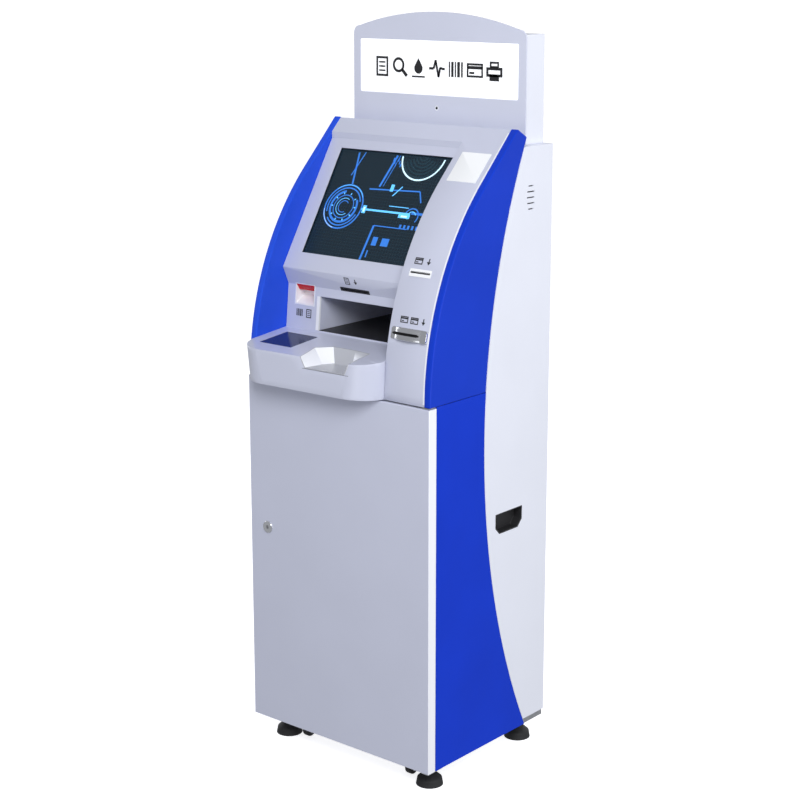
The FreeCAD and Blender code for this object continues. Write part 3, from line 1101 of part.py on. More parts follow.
# ---- the kiosk -------------------------------------------------------------------------------
def main():
    os.makedirs("parts", exist_ok=True)
    save("inner_frame", make_inner_frame())
    panel, cheek = make_side_panel(), make_cheek()
    save("side_panel_right", panel)
    save("side_panel_left", mirrored(panel))
    save("cheek_right", cheek)
    save("cheek_left", mirrored(cheek))
    save("rear_housing", make_rear_housing())
    save("base_plate", make_base_plate())
    save("front_cover", make_front_cover())
    save("screen_fascia", make_screen_fascia())
    glass, monitor = make_screen()
    save("touch_glass", glass)
    save("lcd_monitor", monitor)
    save("monitor_screws", *make_monitor_screws())
    shelf, window, scoop, module = make_console()
    save("console_shelf", shelf)
    save("id_reader_window", window)
    save("pickup_scoop", scoop)
    save("id_reader", module)
    niche, red_window, engine = make_scanner()
    save("scanner_niche", niche)
    save("scanner_window", red_window)
    save("barcode_scanner", engine)
    save("receipt_bezel", make_receipt_bezel())
    body, lid, platen, roll = make_receipt_printer()
    save("receipt_printer", body)
    save("receipt_lid", lid)
    save("platen_roller", platen)
    save("paper_roll", roll)
    liner, rollers, flange = make_report_bay()
    save("report_bay", liner)
    save("bay_trim", flange)
    save("exit_rollers", rollers)
    printer, cassette = make_report_printer()
    save("report_printer", printer)
    save("paper_cassette", cassette)
    plate, upper, bezel, shutter, reader = make_card_readers()
    save("card_plate", plate)
    save("card_reader", upper)
    save("bank_card_bezel", bezel)
    save("card_shutter", shutter)
    save("bank_card_reader", reader)
    save("notice_plate", make_notice_plate())
    header, sign, light_box, tubes, camera = make_header()
    save("header_plate", header)
    save("sign_panel", sign)
    save("header_light_box", light_box)
    save("led_tubes", *tubes)
    save("camera_module", camera)
    save("front_door", make_front_door())
    save("door_pivots", *make_door_pivots())
    barrel, core = make_lock(lock_x, base_z + lock_rise, 0.0, 1, lock_length, frame_y + angle_wall + cam_clearance,
                             lock_flange)
    save("front_lock", barrel)
    save("front_lock_cam", core)
    save("rear_door", make_rear_door())
    barrel, core = make_lock(rear_lock_x, base_z + rear_lock_rise, body_depth, -1, sheet,
                             sheet + rear_cam_clearance, 0.0)
    save("rear_lock", barrel)
    save("rear_lock_cam", core)
    handle = make_handle()
    save("side_handles", handle, mirrored(handle))
    for name, (x, y) in zip(("front_left", "front_right", "back_left", "back_right"), foot_places()):
        save("foot_" + name, *make_foot(x, y))
    brackets = []
    for name, x in (("left", -caster_x), ("right", caster_x)):
        bracket, wheel = make_caster(x)
        brackets.append(bracket)
        save("caster_wheel_" + name, wheel)
    save("caster_brackets", *brackets)
    housing, rotor = make_fan()
    save("fan_housing", housing)
    save("fan_rotor", rotor)
    save("computer", make_computer())
    inlet, rocker = make_power()
    save("power_inlet", inlet)
    save("power_switch", rocker)


main()
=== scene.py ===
import json
import math
import bmesh
import bpy
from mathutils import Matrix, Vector


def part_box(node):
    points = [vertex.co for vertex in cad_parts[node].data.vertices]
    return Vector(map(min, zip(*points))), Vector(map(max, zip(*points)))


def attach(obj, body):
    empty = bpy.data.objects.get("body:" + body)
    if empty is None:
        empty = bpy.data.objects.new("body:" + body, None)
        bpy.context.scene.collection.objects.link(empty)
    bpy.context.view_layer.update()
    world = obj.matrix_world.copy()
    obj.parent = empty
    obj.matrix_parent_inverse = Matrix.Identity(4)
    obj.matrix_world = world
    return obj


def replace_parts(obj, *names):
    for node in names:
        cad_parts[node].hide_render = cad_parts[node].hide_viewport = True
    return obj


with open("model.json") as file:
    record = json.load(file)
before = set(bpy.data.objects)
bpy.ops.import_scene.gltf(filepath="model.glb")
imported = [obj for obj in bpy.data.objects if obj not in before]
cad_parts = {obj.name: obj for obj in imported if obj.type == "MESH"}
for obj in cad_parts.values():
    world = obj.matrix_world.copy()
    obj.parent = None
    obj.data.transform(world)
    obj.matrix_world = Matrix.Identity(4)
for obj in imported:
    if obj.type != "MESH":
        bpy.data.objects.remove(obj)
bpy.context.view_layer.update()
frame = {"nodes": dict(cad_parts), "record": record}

nodes = frame["nodes"]
MM = 0.001


# ---- camera, floor and light -----------------------------------------------------------------
def make_camera():
    """The photograph's viewpoint: from the front right, a little above the kiosk."""
    data = bpy.data.cameras.new("camera")
    data.sensor_width, data.lens = 36.0, 80.58
    data.shift_x, data.shift_y = -0.0070, -0.0564
    camera = bpy.data.objects.new("camera", data)
    bpy.context.collection.objects.link(camera)
    azimuth, elevation = math.radians(39.88), math.radians(12.44)
    forward = Vector((-math.sin(azimuth) * math.cos(elevation), math.cos(azimuth) * math.cos(elevation),
                      -math.sin(elevation)))
    camera.location = (2.7029, -3.1777, 1.9055)
    camera.rotation_mode = "QUATERNION"
    camera.rotation_quaternion = forward.to_track_quat("-Z", "Y")
    bpy.context.scene.camera = camera


near_white, cool_white = (0.97, 0.98, 1.0), (0.95, 0.97, 1.0)
studio_lights = (   # name, place, what it points at, size, power, colour
    ("key", (2.6, -2.75, 3.4), (0, 0, 1.2), 2.0, 144, near_white),
    ("right_fill", (4.0, 0.4, 0.9), (0, 0, 0.9), 2.0, 42, near_white),
    ("low_front", (0.6, -3.4, 0.5), (0, 0, 0.9), 1.6, 9, cool_white),
    ("left_fill", (-3.9, 0.2, 1.4), (0, 0, 1.0), 2.0, 34, cool_white),
    ("back_fill", (0.4, 4.4, 2.2), (0, 0, 1.0), 2.5, 60, (1, 1, 1)),
)
sky_seen, sky_light, sky_colour = 1.15, 0.40, (0.93, 0.95, 1.0, 1)


def area_light(name, place, target, size, power, colour):
    data = bpy.data.lights.new(name, "AREA")
    data.shape, data.size, data.energy, data.color = "SQUARE", size, power, colour
    light = bpy.data.objects.new(name, data)
    bpy.context.collection.objects.link(light)
    light.location = place
    light.rotation_mode = "QUATERNION"
    light.rotation_quaternion = (Vector(target) - Vector(place)).to_track_quat("-Z", "Y")


def make_stage():
    """A pale floor under a white studio sky, a soft key from the right and weaker fills all round."""
    bpy.ops.mesh.primitive_plane_add(size=60, location=(0, 0, 0))
    floor = bpy.context.object
    floor.name = "floor"
    floor.data.materials.append(glow("floor_paint", (0.80, 0.80, 0.81), 0.98, 0.9))
    floor.visible_diffuse = floor.visible_glossy = False
    world = bpy.data.worlds.new("studio")
    bpy.context.scene.world = world
    world.use_nodes = True
    tree = world.node_tree
    tree.nodes.clear()
    path = tree.nodes.new("ShaderNodeLightPath")
    seen, lit = tree.nodes.new("ShaderNodeBackground"), tree.nodes.new("ShaderNodeBackground")
    seen.inputs["Color"].default_value, seen.inputs["Strength"].default_value = (1, 1, 1, 1), sky_seen
    lit.inputs["Color"].default_value, lit.inputs["Strength"].default_value = sky_colour, sky_light
    mix, out = tree.nodes.new("ShaderNodeMixShader"), tree.nodes.new("ShaderNodeOutputWorld")
    tree.links.new(path.outputs["Is Camera Ray"], mix.inputs["Fac"])
    tree.links.new(lit.outputs[0], mix.inputs[1])
    tree.links.new(seen.outputs[0], mix.inputs[2])
    tree.links.new(mix.outputs[0], out.inputs["Surface"])
    for light in studio_lights:
        area_light(*light)
    bpy.context.scene.view_settings.view_transform = "Standard"


# ---- materials -------------------------------------------------------------------------------
def plain(name, colour, roughness, metallic=0.0):
    material = bpy.data.materials.new(name)
    material.use_nodes = True
    shader = material.node_tree.nodes["Principled BSDF"]
    shader.inputs["Base Color"].default_value = (*colour, 1)
    shader.inputs["Roughness"].default_value = roughness
    shader.inputs["Metallic"].default_value = metallic
    return material


def finish(name, colour, roughness, metallic=0.0, grain=1500.0, bump=0.05, mottle=0.04, mottle_scale=6.0,
           coat=0.0, stretch=(1, 1, 1), **sockets):
    """A surface with fine grain in its bump, slow colour drift and uneven gloss."""
    material = plain(name, colour, roughness, metallic)
    tree = material.node_tree
    shader = tree.nodes["Principled BSDF"]
    new, link = tree.nodes.new, tree.links.new
    place, scale = new("ShaderNodeTexCoord"), new("ShaderNodeMapping")
    scale.inputs["Scale"].default_value = stretch
    link(place.outputs["Object"], scale.inputs["Vector"])
    drift = new("ShaderNodeTexNoise")
    drift.inputs["Scale"].default_value = mottle_scale
    drift.inputs["Detail"].default_value = 4.0
    link(scale.outputs[0], drift.inputs["Vector"])
    ramp = new("ShaderNodeValToRGB")
    for stop, factor in ((0, 1 - mottle), (1, 1 + mottle)):
        ramp.color_ramp.elements[stop].color = (*[min(c * factor, 1.0) for c in colour], 1)
    ramp.color_ramp.elements[0].position, ramp.color_ramp.elements[1].position = 0.3, 0.7
    link(drift.outputs["Fac"], ramp.inputs["Fac"])
    link(ramp.outputs["Color"], shader.inputs["Base Color"])
    fine = new("ShaderNodeTexNoise")
    fine.inputs["Scale"].default_value = grain
    fine.inputs["Detail"].default_value = 2.0
    link(scale.outputs[0], fine.inputs["Vector"])
    gloss = new("ShaderNodeMapRange")
    gloss.inputs["To Min"].default_value = max(roughness - 0.05, 0.02)
    gloss.inputs["To Max"].default_value = roughness + 0.06
    link(drift.outputs["Fac"], gloss.inputs["Value"])
    link(gloss.outputs["Result"], shader.inputs["Roughness"])
    relief = new("ShaderNodeBump")
    relief.inputs["Strength"].default_value = bump
    relief.inputs["Distance"].default_value = 0.2 * MM
    link(fine.outputs["Fac"], relief.inputs["Height"])
    link(relief.outputs["Normal"], shader.inputs["Normal"])
    shader.inputs["Coat Weight"].default_value = coat
    for socket, value in sockets.items():
        shader.inputs[socket.replace("_", " ")].default_value = value
    return material


def glow(name, colour, strength, roughness=0.4):
    material = plain(name, colour, roughness)
    shader = material.node_tree.nodes["Principled BSDF"]
    shader.inputs["Emission Color"].default_value = (*colour, 1)
    shader.inputs["Emission Strength"].default_value = strength
    return material


def clear_glass(name, colour, alpha, roughness=0.04):
    material = plain(name, colour, roughness)
    shader = material.node_tree.nodes["Principled BSDF"]
    shader.inputs["Alpha"].default_value = alpha
    shader.inputs["Specular IOR Level"].default_value = 0.3
    return material


def make_materials():
    made = {
        "grey_paint": finish("grey_paint", (0.565, 0.585, 0.705), 0.42, grain=1400, bump=0.10, mottle=0.015),
        "white_paint": finish("white_paint", (0.80, 0.82, 0.90), 0.42, grain=1400, bump=0.10, mottle=0.012),
        "blue_paint": finish("blue_paint", (0.0042, 0.040, 0.56), 0.45, grain=1600, bump=0.06, mottle=0.05,
                             Specular_IOR_Level=0.12),
        "blue_cheek": finish("blue_cheek", (0.0052, 0.042, 0.53), 0.38, grain=1600, bump=0.04, mottle=0.05,
                             Specular_IOR_Level=0.15),
        "zinc_steel": finish("zinc_steel", (0.55, 0.56, 0.58), 0.38, 1.0, grain=300, bump=0.05, mottle=0.12,
                             mottle_scale=60),
        "white_plastic": finish("white_plastic", (0.86, 0.87, 0.90), 0.32, grain=2500, bump=0.04, mottle=0.01,
                                coat=0.2),
        "black_plastic": finish("black_plastic", (0.018, 0.018, 0.020), 0.48, grain=2200, bump=0.25,
                                mottle=0.15),
        "grey_plastic": finish("grey_plastic", (0.16, 0.165, 0.18), 0.45, grain=2200, bump=0.2, mottle=0.05),
        "rubber": finish("rubber", (0.016, 0.016, 0.017), 0.68, grain=1800, bump=0.3, mottle=0.25,
                         mottle_scale=30),
        "screen_glass": clear_glass("screen_glass", (0.01, 0.02, 0.03), 0.10),
        "reader_glass": finish("reader_glass", (0.026, 0.032, 0.075), 0.16, grain=40, bump=0.0, mottle=0.08,
                               Specular_IOR_Level=0.3),
        "red_window": finish("red_window", (0.66, 0.008, 0.016), 0.25, grain=40, bump=0.0, mottle=0.1,
                             Specular_IOR_Level=0.2),
        "sign_acrylic": finish("sign_acrylic", (0.93, 0.94, 0.95), 0.25, grain=900, bump=0.01, mottle=0.01,
                               Emission_Color=(0.98, 0.99, 1.0, 1), Emission_Strength=0.35),
        "tube_glass": finish("tube_glass", (0.9, 0.92, 0.95), 0.3, grain=800, bump=0.02, mottle=0.01,
                             Emission_Color=(1, 1, 1, 1), Emission_Strength=0.8),
        "silver_bezel": finish("silver_bezel", (0.72, 0.73, 0.75), 0.20, 1.0, grain=1500, bump=0.01,
                               mottle=0.03, mottle_scale=40, stretch=(0.2, 1, 1)),
        "brass": finish("brass", (0.56, 0.45, 0.20), 0.30, 1.0, grain=900, bump=0.05, mottle=0.12,
                        mottle_scale=90),
        "steel": finish("steel", (0.52, 0.53, 0.55), 0.30, 1.0, grain=700, bump=0.05, mottle=0.08,
                        mottle_scale=50),
        "paper": finish("paper", (0.85, 0.85, 0.82), 0.85, grain=900, bump=0.12, mottle=0.03,
                        stretch=(1, 8, 8)),
        "pc_paint": finish("pc_paint", (0.03, 0.03, 0.033), 0.5, grain=1400, bump=0.15, mottle=0.1),
        "circuit": finish("circuit", (0.02, 0.08, 0.035), 0.45, grain=500, bump=0.2, mottle=0.3,
                          mottle_scale=120),
        "ink": finish("ink", (0.012, 0.012, 0.014), 0.55, grain=2000, bump=0.05, mottle=0.1),
        # white for the camera ring; on the column's edge it is a painted highlight
        "white_trim_and_painted_highlight": finish("white_trim_and_painted_highlight", (0.84, 0.85, 0.90), 0.35, grain=1500, bump=0.05, mottle=0.01),
        "white_label": finish("white_label", (0.93, 0.94, 0.95), 0.30, grain=2500, bump=0.03, mottle=0.01),
        # black for slot lips and the camera lens; in slot throats, key slots and the plate before the lower slot it
        # is painted shade of a hollow
        "black_and_painted_hollow_shade": finish("black_and_painted_hollow_shade", (0.006, 0.006, 0.007), 0.7, grain=900, bump=0.1, mottle=0.1),
        "display_black": glow("display_black", (0.0025, 0.008, 0.015), 1.0, 0.3),
        "display_grid": glow("display_grid", (0.008, 0.028, 0.042), 1.0, 0.3),
        "display_blue": glow("display_blue", (0.030, 0.165, 0.58), 1.0, 0.3),
        "display_sky": glow("display_sky", (0.12, 0.50, 0.95), 1.1, 0.3),
        "display_pale": glow("display_pale", (0.60, 0.85, 0.98), 1.1, 0.3),
        # painted light: a lighter copy of grey_paint for the header plate, which catches more light
        "header_painted_light": finish("header_painted_light", (0.640, 0.660, 0.775), 0.40, grain=1400, bump=0.10,
                               mottle=0.015),
        # painted light: a lighter copy of grey_paint for the door, with its left and right faces painted white as
        # if lit from the side
        "door_paint_and_painted_side_light": finish("door_paint_and_painted_side_light", (0.585, 0.605, 0.725), 0.42, grain=1400, bump=0.10, mottle=0.015),
        # painted light: a lighter copy of the cheek blue for the left cheek, whose inner face is lit more
        "left_cheek_painted_light": finish("left_cheek_painted_light", (0.018, 0.082, 0.70), 0.38, grain=1600, bump=0.04, mottle=0.05,
                             Specular_IOR_Level=0.15),
        # painted shade and light on the white scoop: back wall and floor painted grey for shade, left and right
        # walls painted white as if lit
        "scoop_painted_shade_and_light": finish("scoop_painted_shade_and_light", (0.46, 0.47, 0.51), 0.30, grain=2500, bump=0.04, mottle=0.01,
                              coat=0.2),
        # partly painted light: a lighter copy of grey_paint for the console shelf; its coat and lower roughness
        # give it gloss
        "console_paint_and_painted_light": finish("console_paint_and_painted_light", (0.595, 0.615, 0.735), 0.32, grain=1400, bump=0.08,
                                mottle=0.015, coat=0.35),
        "lock_silver": finish("lock_silver", (0.78, 0.79, 0.81), 0.22, 1.0, grain=1200, bump=0.02,
                              mottle=0.05),
        "grey_line": finish("grey_line", (0.16, 0.17, 0.21), 0.5, grain=1500, bump=0.05, mottle=0.1),
    }
    # painted light: the side faces of the door and the scoop are turned white as if lit from the side
    paint_side_light(made["door_paint_and_painted_side_light"], 0.55, 0.75)
    paint_side_light(made["scoop_painted_shade_and_light"], 0.12, 0.30)
    return made


# painted light: the white that left and right faces are turned to, as if lit from the side
painted_side_white = (0.92, 0.93, 0.97, 1)


def paint_side_light(material, first, last):
    """Paint light on the piece's own left and right faces, turning them white as if lit from the side; first and
    last are the normal's sideways part.
    """
    tree = material.node_tree
    new, link = tree.nodes.new, tree.links.new
    shader = tree.nodes["Principled BSDF"]
    place, parts, size = new("ShaderNodeTexCoord"), new("ShaderNodeSeparateXYZ"), new("ShaderNodeMath")
    size.operation = "ABSOLUTE"
    link(place.outputs["Normal"], parts.inputs[0])
    link(parts.outputs["X"], size.inputs[0])
    step, mix = new("ShaderNodeMapRange"), new("ShaderNodeMix")
    step.inputs["From Min"].default_value, step.inputs["From Max"].default_value = first, last
    link(size.outputs[0], step.inputs["Value"])
    mix.data_type = "RGBA"
    link(step.outputs["Result"], mix.inputs["Factor"])
    link(shader.inputs["Base Color"].links[0].from_socket, mix.inputs["A"])
    mix.inputs["B"].default_value = painted_side_white
    link(mix.outputs["Result"], shader.inputs["Base Color"])


slot_of = {part["node"]: part["material_slot"] for part in frame["record"]["subparts"]}
own_finish = {"notice_plate": "white_label", "card_plate": "white_label", "header_plate": "header_painted_light",
              "front_door": "door_paint_and_painted_side_light", "cheek_left": "left_cheek_painted_light", "pickup_scoop": "scoop_painted_shade_and_light",
              "console_shelf": "console_paint_and_painted_light", "front_lock": "lock_silver", "rear_lock": "lock_silver"}
# Edge radii in millimetres; a node that isn't named keeps its CAD edges.
rounded_edges = {"screen_fascia": 1.0, "front_cover": 1.2, "console_shelf": 2.0, "cheek_left": 2.5,
                 "cheek_right": 2.5, "rear_housing": 0.8, "header_plate": 0.8, "header_light_box": 1.5,
                 "front_door": 0.8, "side_panel_left": 0.6, "side_panel_right": 0.6, "notice_plate": 0.4,
                 "card_plate": 0.4,
                 "bank_card_bezel": 1.0, "pickup_scoop": 0.8, "report_bay": 0.5, "side_handles": 1.2,
                 "rear_door": 0.8, "receipt_bezel": 0.3, "scanner_niche": 0.5, "sign_panel": 0.4,
                 "report_printer": 1.0, "paper_cassette": 1.0, "computer": 1.0, "lcd_monitor": 1.0,
                 "receipt_printer": 0.8, "receipt_lid": 0.8, "power_inlet": 0.5, "id_reader": 0.6,
                 "fan_housing": 0.6, "caster_brackets": 0.4, "door_pivots": 0.4}


def dress_frame_nodes():
    """Give every CAD node its material, and sharp edges the small radius that sheet and mouldings have."""
    for name, node in nodes.items():
        node.data.materials.clear()
        node.data.materials.append(materials[own_finish.get(name, slot_of[name])])
        weld = node.modifiers.new("weld", "WELD")
        weld.merge_threshold = 0.01 * MM
        if name in rounded_edges:
            bevel = node.modifiers.new("edge_radius", "BEVEL")
            bevel.width, bevel.segments = rounded_edges[name] * MM, 2
            bevel.limit_method, bevel.angle_limit = "ANGLE", math.radians(40)
            bevel.use_clamp_overlap = True


# ---- small shapes ----------------------------------------------------------------------------
def mesh_piece(name, vertices, faces, body, material):
    mesh = bpy.data.meshes.new(name)
    mesh.from_pydata(vertices, [], faces)
    mesh.validate()
    piece = bpy.data.objects.new(name, mesh)
    bpy.context.collection.objects.link(piece)
    piece.data.materials.append(materials[material])
    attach(piece, body)
    return piece


def rect(x, y, width, height):
    """A rectangle given by its centre."""
    w, h = width / 2, height / 2
    return [(x - w, y - h), (x + w, y - h), (x + w, y + h), (x - w, y + h)]


def bar(x0, y0, x1, y1, width):
    """A straight stroke between two points."""
    length = math.hypot(x1 - x0, y1 - y0)
    nx, ny = -(y1 - y0) / length * width / 2, (x1 - x0) / length * width / 2
    return [(x0 + nx, y0 + ny), (x0 - nx, y0 - ny), (x1 - nx, y1 - ny), (x1 + nx, y1 + ny)]


def frame_box(x, y, width, height, stroke):
    """The outline of a rectangle, drawn with four strokes."""
    w, h = width / 2, height / 2
    inner = height - 2 * stroke
    return [rect(x, y + h - stroke / 2, width, stroke), rect(x, y - h + stroke / 2, width, stroke),
            rect(x - w + stroke / 2, y, stroke, inner), rect(x + w - stroke / 2, y, stroke, inner)]


def ring(x, y, radius, stroke, start=0.0, end=360.0, step=6.0):
    """A ring, or an arc of one, as a row of four-sided patches."""
    count = max(int(round((end - start) / step)), 1)
    inner, outer = radius - stroke / 2, radius + stroke / 2

    def at(reach, k):
        angle = math.radians(start + (end - start) * k / count)
        return x + reach * math.cos(angle), y + reach * math.sin(angle)
    return [[at(inner, i), at(outer, i), at(outer, i + 1), at(inner, i + 1)] for i in range(count)]


def disc(x, y, radius, count=32):
    turns = [2 * math.pi * i / count for i in range(count)]
    return [[(x + radius * math.cos(a), y + radius * math.sin(a)) for a in turns]]


def printed(name, outlines, place, across, up, body, material, thickness=0.12):
    """Flat shapes, in millimetres, raised a hair above a surface: a print, a label or a lit graphic."""
    across, up = across.normalized(), up.normalized()
    out = across.cross(up)
    vertices, faces = [], []
    for outline in outlines:
        turned = sum(x0 * y1 - x1 * y0 for (x0, y0), (x1, y1) in zip(outline, outline[1:] + outline[:1]))
        points = outline if turned > 0 else outline[::-1]
        first, count = len(vertices), len(points)
        for lift in (0.0, thickness):
            vertices += [place + (across * x + up * y + out * lift) * MM for x, y in points]
        faces.append(list(range(first + count - 1, first - 1, -1)))
        faces.append(list(range(first + count, first + 2 * count)))
        faces += [(first + i, first + (i + 1) % count, first + count + (i + 1) % count, first + count + i)
                  for i in range(count)]
    return mesh_piece(name, vertices, faces, body, material)


def face_point(node, x, z, from_back=False):
    """Where a level line from the front (or the back) first meets a CAD node: the place and its normal."""
    start = Vector((x, 2.0 if from_back else -2.0, z))
    hit, place, normal, _ = nodes[node].ray_cast(start, Vector((0, -1.0 if from_back else 1.0, 0)))
    if not hit:
        raise ValueError(f"nothing of {node} at x {x:.3f}, z {z:.3f}")
    if (normal.y > 0) != from_back:
        normal = -normal
    return place, normal


def face_outwards(piece):
    form = bmesh.new()
    form.from_mesh(piece.data)
    bmesh.ops.recalc_face_normals(form, faces=form.faces)
    form.to_mesh(piece.data)
    form.free()
    return piece


def swept(name, rings, body, material, closed=False):
    """A solid through a row of like outlines, one after another; closed joins the last one to the first."""
    count, total = len(rings[0]), len(rings)
    faces = []
    for i in range(total if closed else total - 1):
        a, b = i * count, (i + 1) % total * count
        faces += [(a + k, a + (k + 1) % count, b + (k + 1) % count, b + k) for k in range(count)]
    if not closed:
        faces += [tuple(range(count - 1, -1, -1)), tuple(range((total - 1) * count, total * count))]
    return face_outwards(mesh_piece(name, [p for outline in rings for p in outline], faces, body, material))


class Face:
    """A flat frame of millimetres on the object: across, up and out from a middle point."""
    def __init__(self, place, up, across=Vector((1, 0, 0))):
        self.place, self.across = place, across.normalized()
        self.up = up.normalized()
        self.out = self.across.cross(self.up)

    def at(self, x, y, lift=0.0):
        return self.place + (self.across * x + self.up * y + self.out * lift) * MM


def rounded_outline(width, height, radius, each=6):
    """A rectangle with round corners, as points round its middle."""
    points = []
    for k, (sx, sy) in enumerate(((1, 1), (-1, 1), (-1, -1), (1, -1))):
        x, y = sx * (width / 2 - radius), sy * (height / 2 - radius)
        for i in range(each + 1):
            a = math.radians(90 * k + 90 * i / each)
            points.append((x + radius * math.cos(a), y + radius * math.sin(a)))
    return points


lip_stand, throat_corner = 0.2, 1.15      # mm: how far a slot's lip stands out, and its throat's corner


def slot_liner(name, face, width, height, lip, front, back, shift=0.0, wall=0.2):
    """A slot's black lip and throat, from front(x), the surface's height over the face, down to back. The black
    throat is painted shade inside the slot.
    """
    outer, inner, rim = ([(x + shift, y) for x, y in rounded_outline(
        width + 2 * g, height + 2 * g, min(height / 2 - 0.05, throat_corner) + g)] for g in (lip, -wall, 0.0))
    rings = []
    for (xo, yo), (xi, yi), (xr, yr) in zip(outer, inner, rim):
        rings.append([face.at(xo, yo, front(xo) + lip_stand), face.at(xi, yi, front(xi) + lip_stand),
                      face.at(xi, yi, back), face.at(xr, yr, back), face.at(xr, yr, front(xr)),
                      face.at(xo, yo, front(xo))])
    return swept(name, rings, "cabinet", "black_and_painted_hollow_shade", closed=True)


def centre(node):
    low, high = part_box(node)
    return (low + high) / 2


# ---- pictograms: our own plain signs, with no lettering --------------------------------------
def sheet_icon(x, y, s):
    """A sheet of paper with lines on it."""
    lines = [rect(x, y + k * 0.2 * s, 0.40 * s, 0.08 * s) for k in (-1, 0, 1)]
    return frame_box(x, y, 0.76 * s, 0.96 * s, 0.11 * s) + lines


def lens_icon(x, y, s):
    handle = bar(x + 0.12 * s, y - 0.12 * s, x + 0.42 * s, y - 0.42 * s, 0.17 * s)
    return ring(x - 0.1 * s, y + 0.1 * s, 0.3 * s, 0.13 * s) + [handle]


def card_icon(x, y, s):
    stripe, chip = rect(x, y + 0.13 * s, 0.86 * s, 0.15 * s), rect(x - 0.18 * s, y - 0.12 * s, 0.3 * s, 0.10 * s)
    return frame_box(x, y, 0.96 * s, 0.66 * s, 0.10 * s) + [stripe, chip]


def code_icon(x, y, s):
    widths = (0.08, 0.14, 0.08, 0.16, 0.10)
    shapes, at = [], x - 0.42 * s
    for width in widths:
        shapes.append(rect(at + width * s / 2, y, width * s, 0.72 * s))
        at += (width + 0.07) * s
    return shapes


def printer_icon(x, y, s):
    case = frame_box(x, y - 0.04 * s, 0.94 * s, 0.44 * s, 0.13 * s)
    paper = frame_box(x, y + 0.30 * s, 0.54 * s, 0.3 * s, 0.10 * s)
    return case + paper + [rect(x, y - 0.30 * s, 0.56 * s, 0.3 * s)]


def down_arrow(x, y, s):
    head = [(x - 0.3 * s, y), (x + 0.3 * s, y), (x, y - 0.42 * s)]
    return [rect(x, y + 0.18 * s, 0.16 * s, 0.48 * s), head]


def drop_icon(x, y, s):
    """A drop over a dish, for a laboratory sample."""
    count = 20
    drop = [(x, y + 0.46 * s)]
    for i in range(count + 1):
        a = math.radians(150 + 240 * i / count)
        drop.append((x + 0.26 * s * math.cos(a), y + 0.26 * s * math.sin(a) - 0.02 * s))
    return [drop, rect(x, y - 0.42 * s, 0.8 * s, 0.08 * s)]


def pulse_icon(x, y, s):
    """A line that beats, as on a monitor."""
    path = [(-0.48, 0), (-0.2, 0), (-0.08, 0.4), (0.1, -0.4), (0.2, 0.06), (0.3, 0), (0.48, 0)]
    points = [(x + a * s, y + b * s) for a, b in path]
    return [bar(*p, *q, 0.12 * s) for p, q in zip(points, points[1:])]


sideways, upright = Vector((1, 0, 0)), Vector((0, 0, 1))
sign_icon_size, sign_icon_pitch = 50.0, 57.0      # mm


def make_prints():
    """The sign's row of pictograms and one group of them at each slot."""
    low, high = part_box("sign_panel")
    middle = (low + high) / 2
    icons = [sheet_icon, lens_icon, drop_icon, pulse_icon, code_icon, card_icon, printer_icon]
    shapes = []
    for i, icon in enumerate(icons):
        shapes += icon((i - (len(icons) - 1) / 2) * sign_icon_pitch, 0, sign_icon_size)
    place = Vector((middle.x, low.y, middle.z - 1 * MM))
    printed("sign_pictograms", shapes, place, sideways, upright, "cabinet", "ink")

    def on_front(name, node, x, z, shapes):
        place, normal = face_point(node, x, z)
        printed(name, shapes, place, sideways, normal.cross(sideways), "cabinet", "ink")
    card = centre("card_plate")
    on_front("upper_card_pictogram", "front_cover", card.x, card.z + 25 * MM,
             card_icon(-15, 0, 24) + down_arrow(14, 0, 19))
    bezel_low, bezel_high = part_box("bank_card_bezel")
    on_front("lower_card_pictogram", "front_cover", (bezel_low.x + bezel_high.x) / 2 + 4 * MM,
             bezel_high.z + 16 * MM, card_icon(-26, 0, 23) + card_icon(3, 0, 23) + down_arrow(29, 0, 18))
    slip = centre("receipt_bezel")
    on_front("receipt_pictogram", "screen_fascia", slip.x - 3 * MM, slip.z + 21 * MM,
             sheet_icon(-13, 0, 20) + down_arrow(13, 0, 18))
    niche_low, niche_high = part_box("scanner_niche")
    on_front("scan_pictogram", "screen_fascia", (niche_low.x + niche_high.x) / 2, niche_low.z - 19 * MM,
             code_icon(-15, 0, 24) + sheet_icon(15, 0, 22))


def column_face(x, z, reach=20 * MM):
    """The flat frame of the card column round a point, square to its leaning face."""
    high, _ = face_point("front_cover", x, z + reach)
    low, _ = face_point("front_cover", x, z - reach)
    lean = high - low
    return Face(low + lean * 0.5, lean)


# ---- slots, bezel, edges and locks -------------------------------------------------------------
upper_slot_width, upper_slot_height, upper_slot_lip, upper_slot_back = 54.5, 2.8, 0.9, -8.0      # mm


def make_upper_slot():
    """The white plate's slot: a black lip, and a black throat that is painted shade inside the slot."""
    middle = centre("card_plate")
    face = column_face(middle.x, middle.z)
    plate, _ = face_point("card_plate", middle.x, middle.z + 5 * MM)
    stands = (plate - face.place).dot(face.out) / MM
    slot_liner("upper_card_slot", face, upper_slot_width, upper_slot_height, upper_slot_lip, lambda u: stands,
               upper_slot_back)


# The lower bezel in millimetres on the column's face: u across from its middle, v up, and its stand outwards.
bezel_half_height, bezel_corner, bezel_base, bezel_end_fall = 14.8, 6.0, 0.2, 1.2
bulge_radius, bulge_sink, bulge_shift, bezel_least = 90.0, 79.4, 3.0, 2.2
groove_start, block_start, groove_stand, block_stand = 33.0, 37.0, 4.2, 7.6
slot_half, slot_rise, slot_shift, slot_end, slot_end_rise = 39.0, 3.2, -10.0, 3.0, 2.0
rim_steps = ((0.0, 1.8), (0.5, 0.7), (1.5, 0.0))      # inset from the rim, and how far below the front
column_step, step_gap = 2.0, 0.1


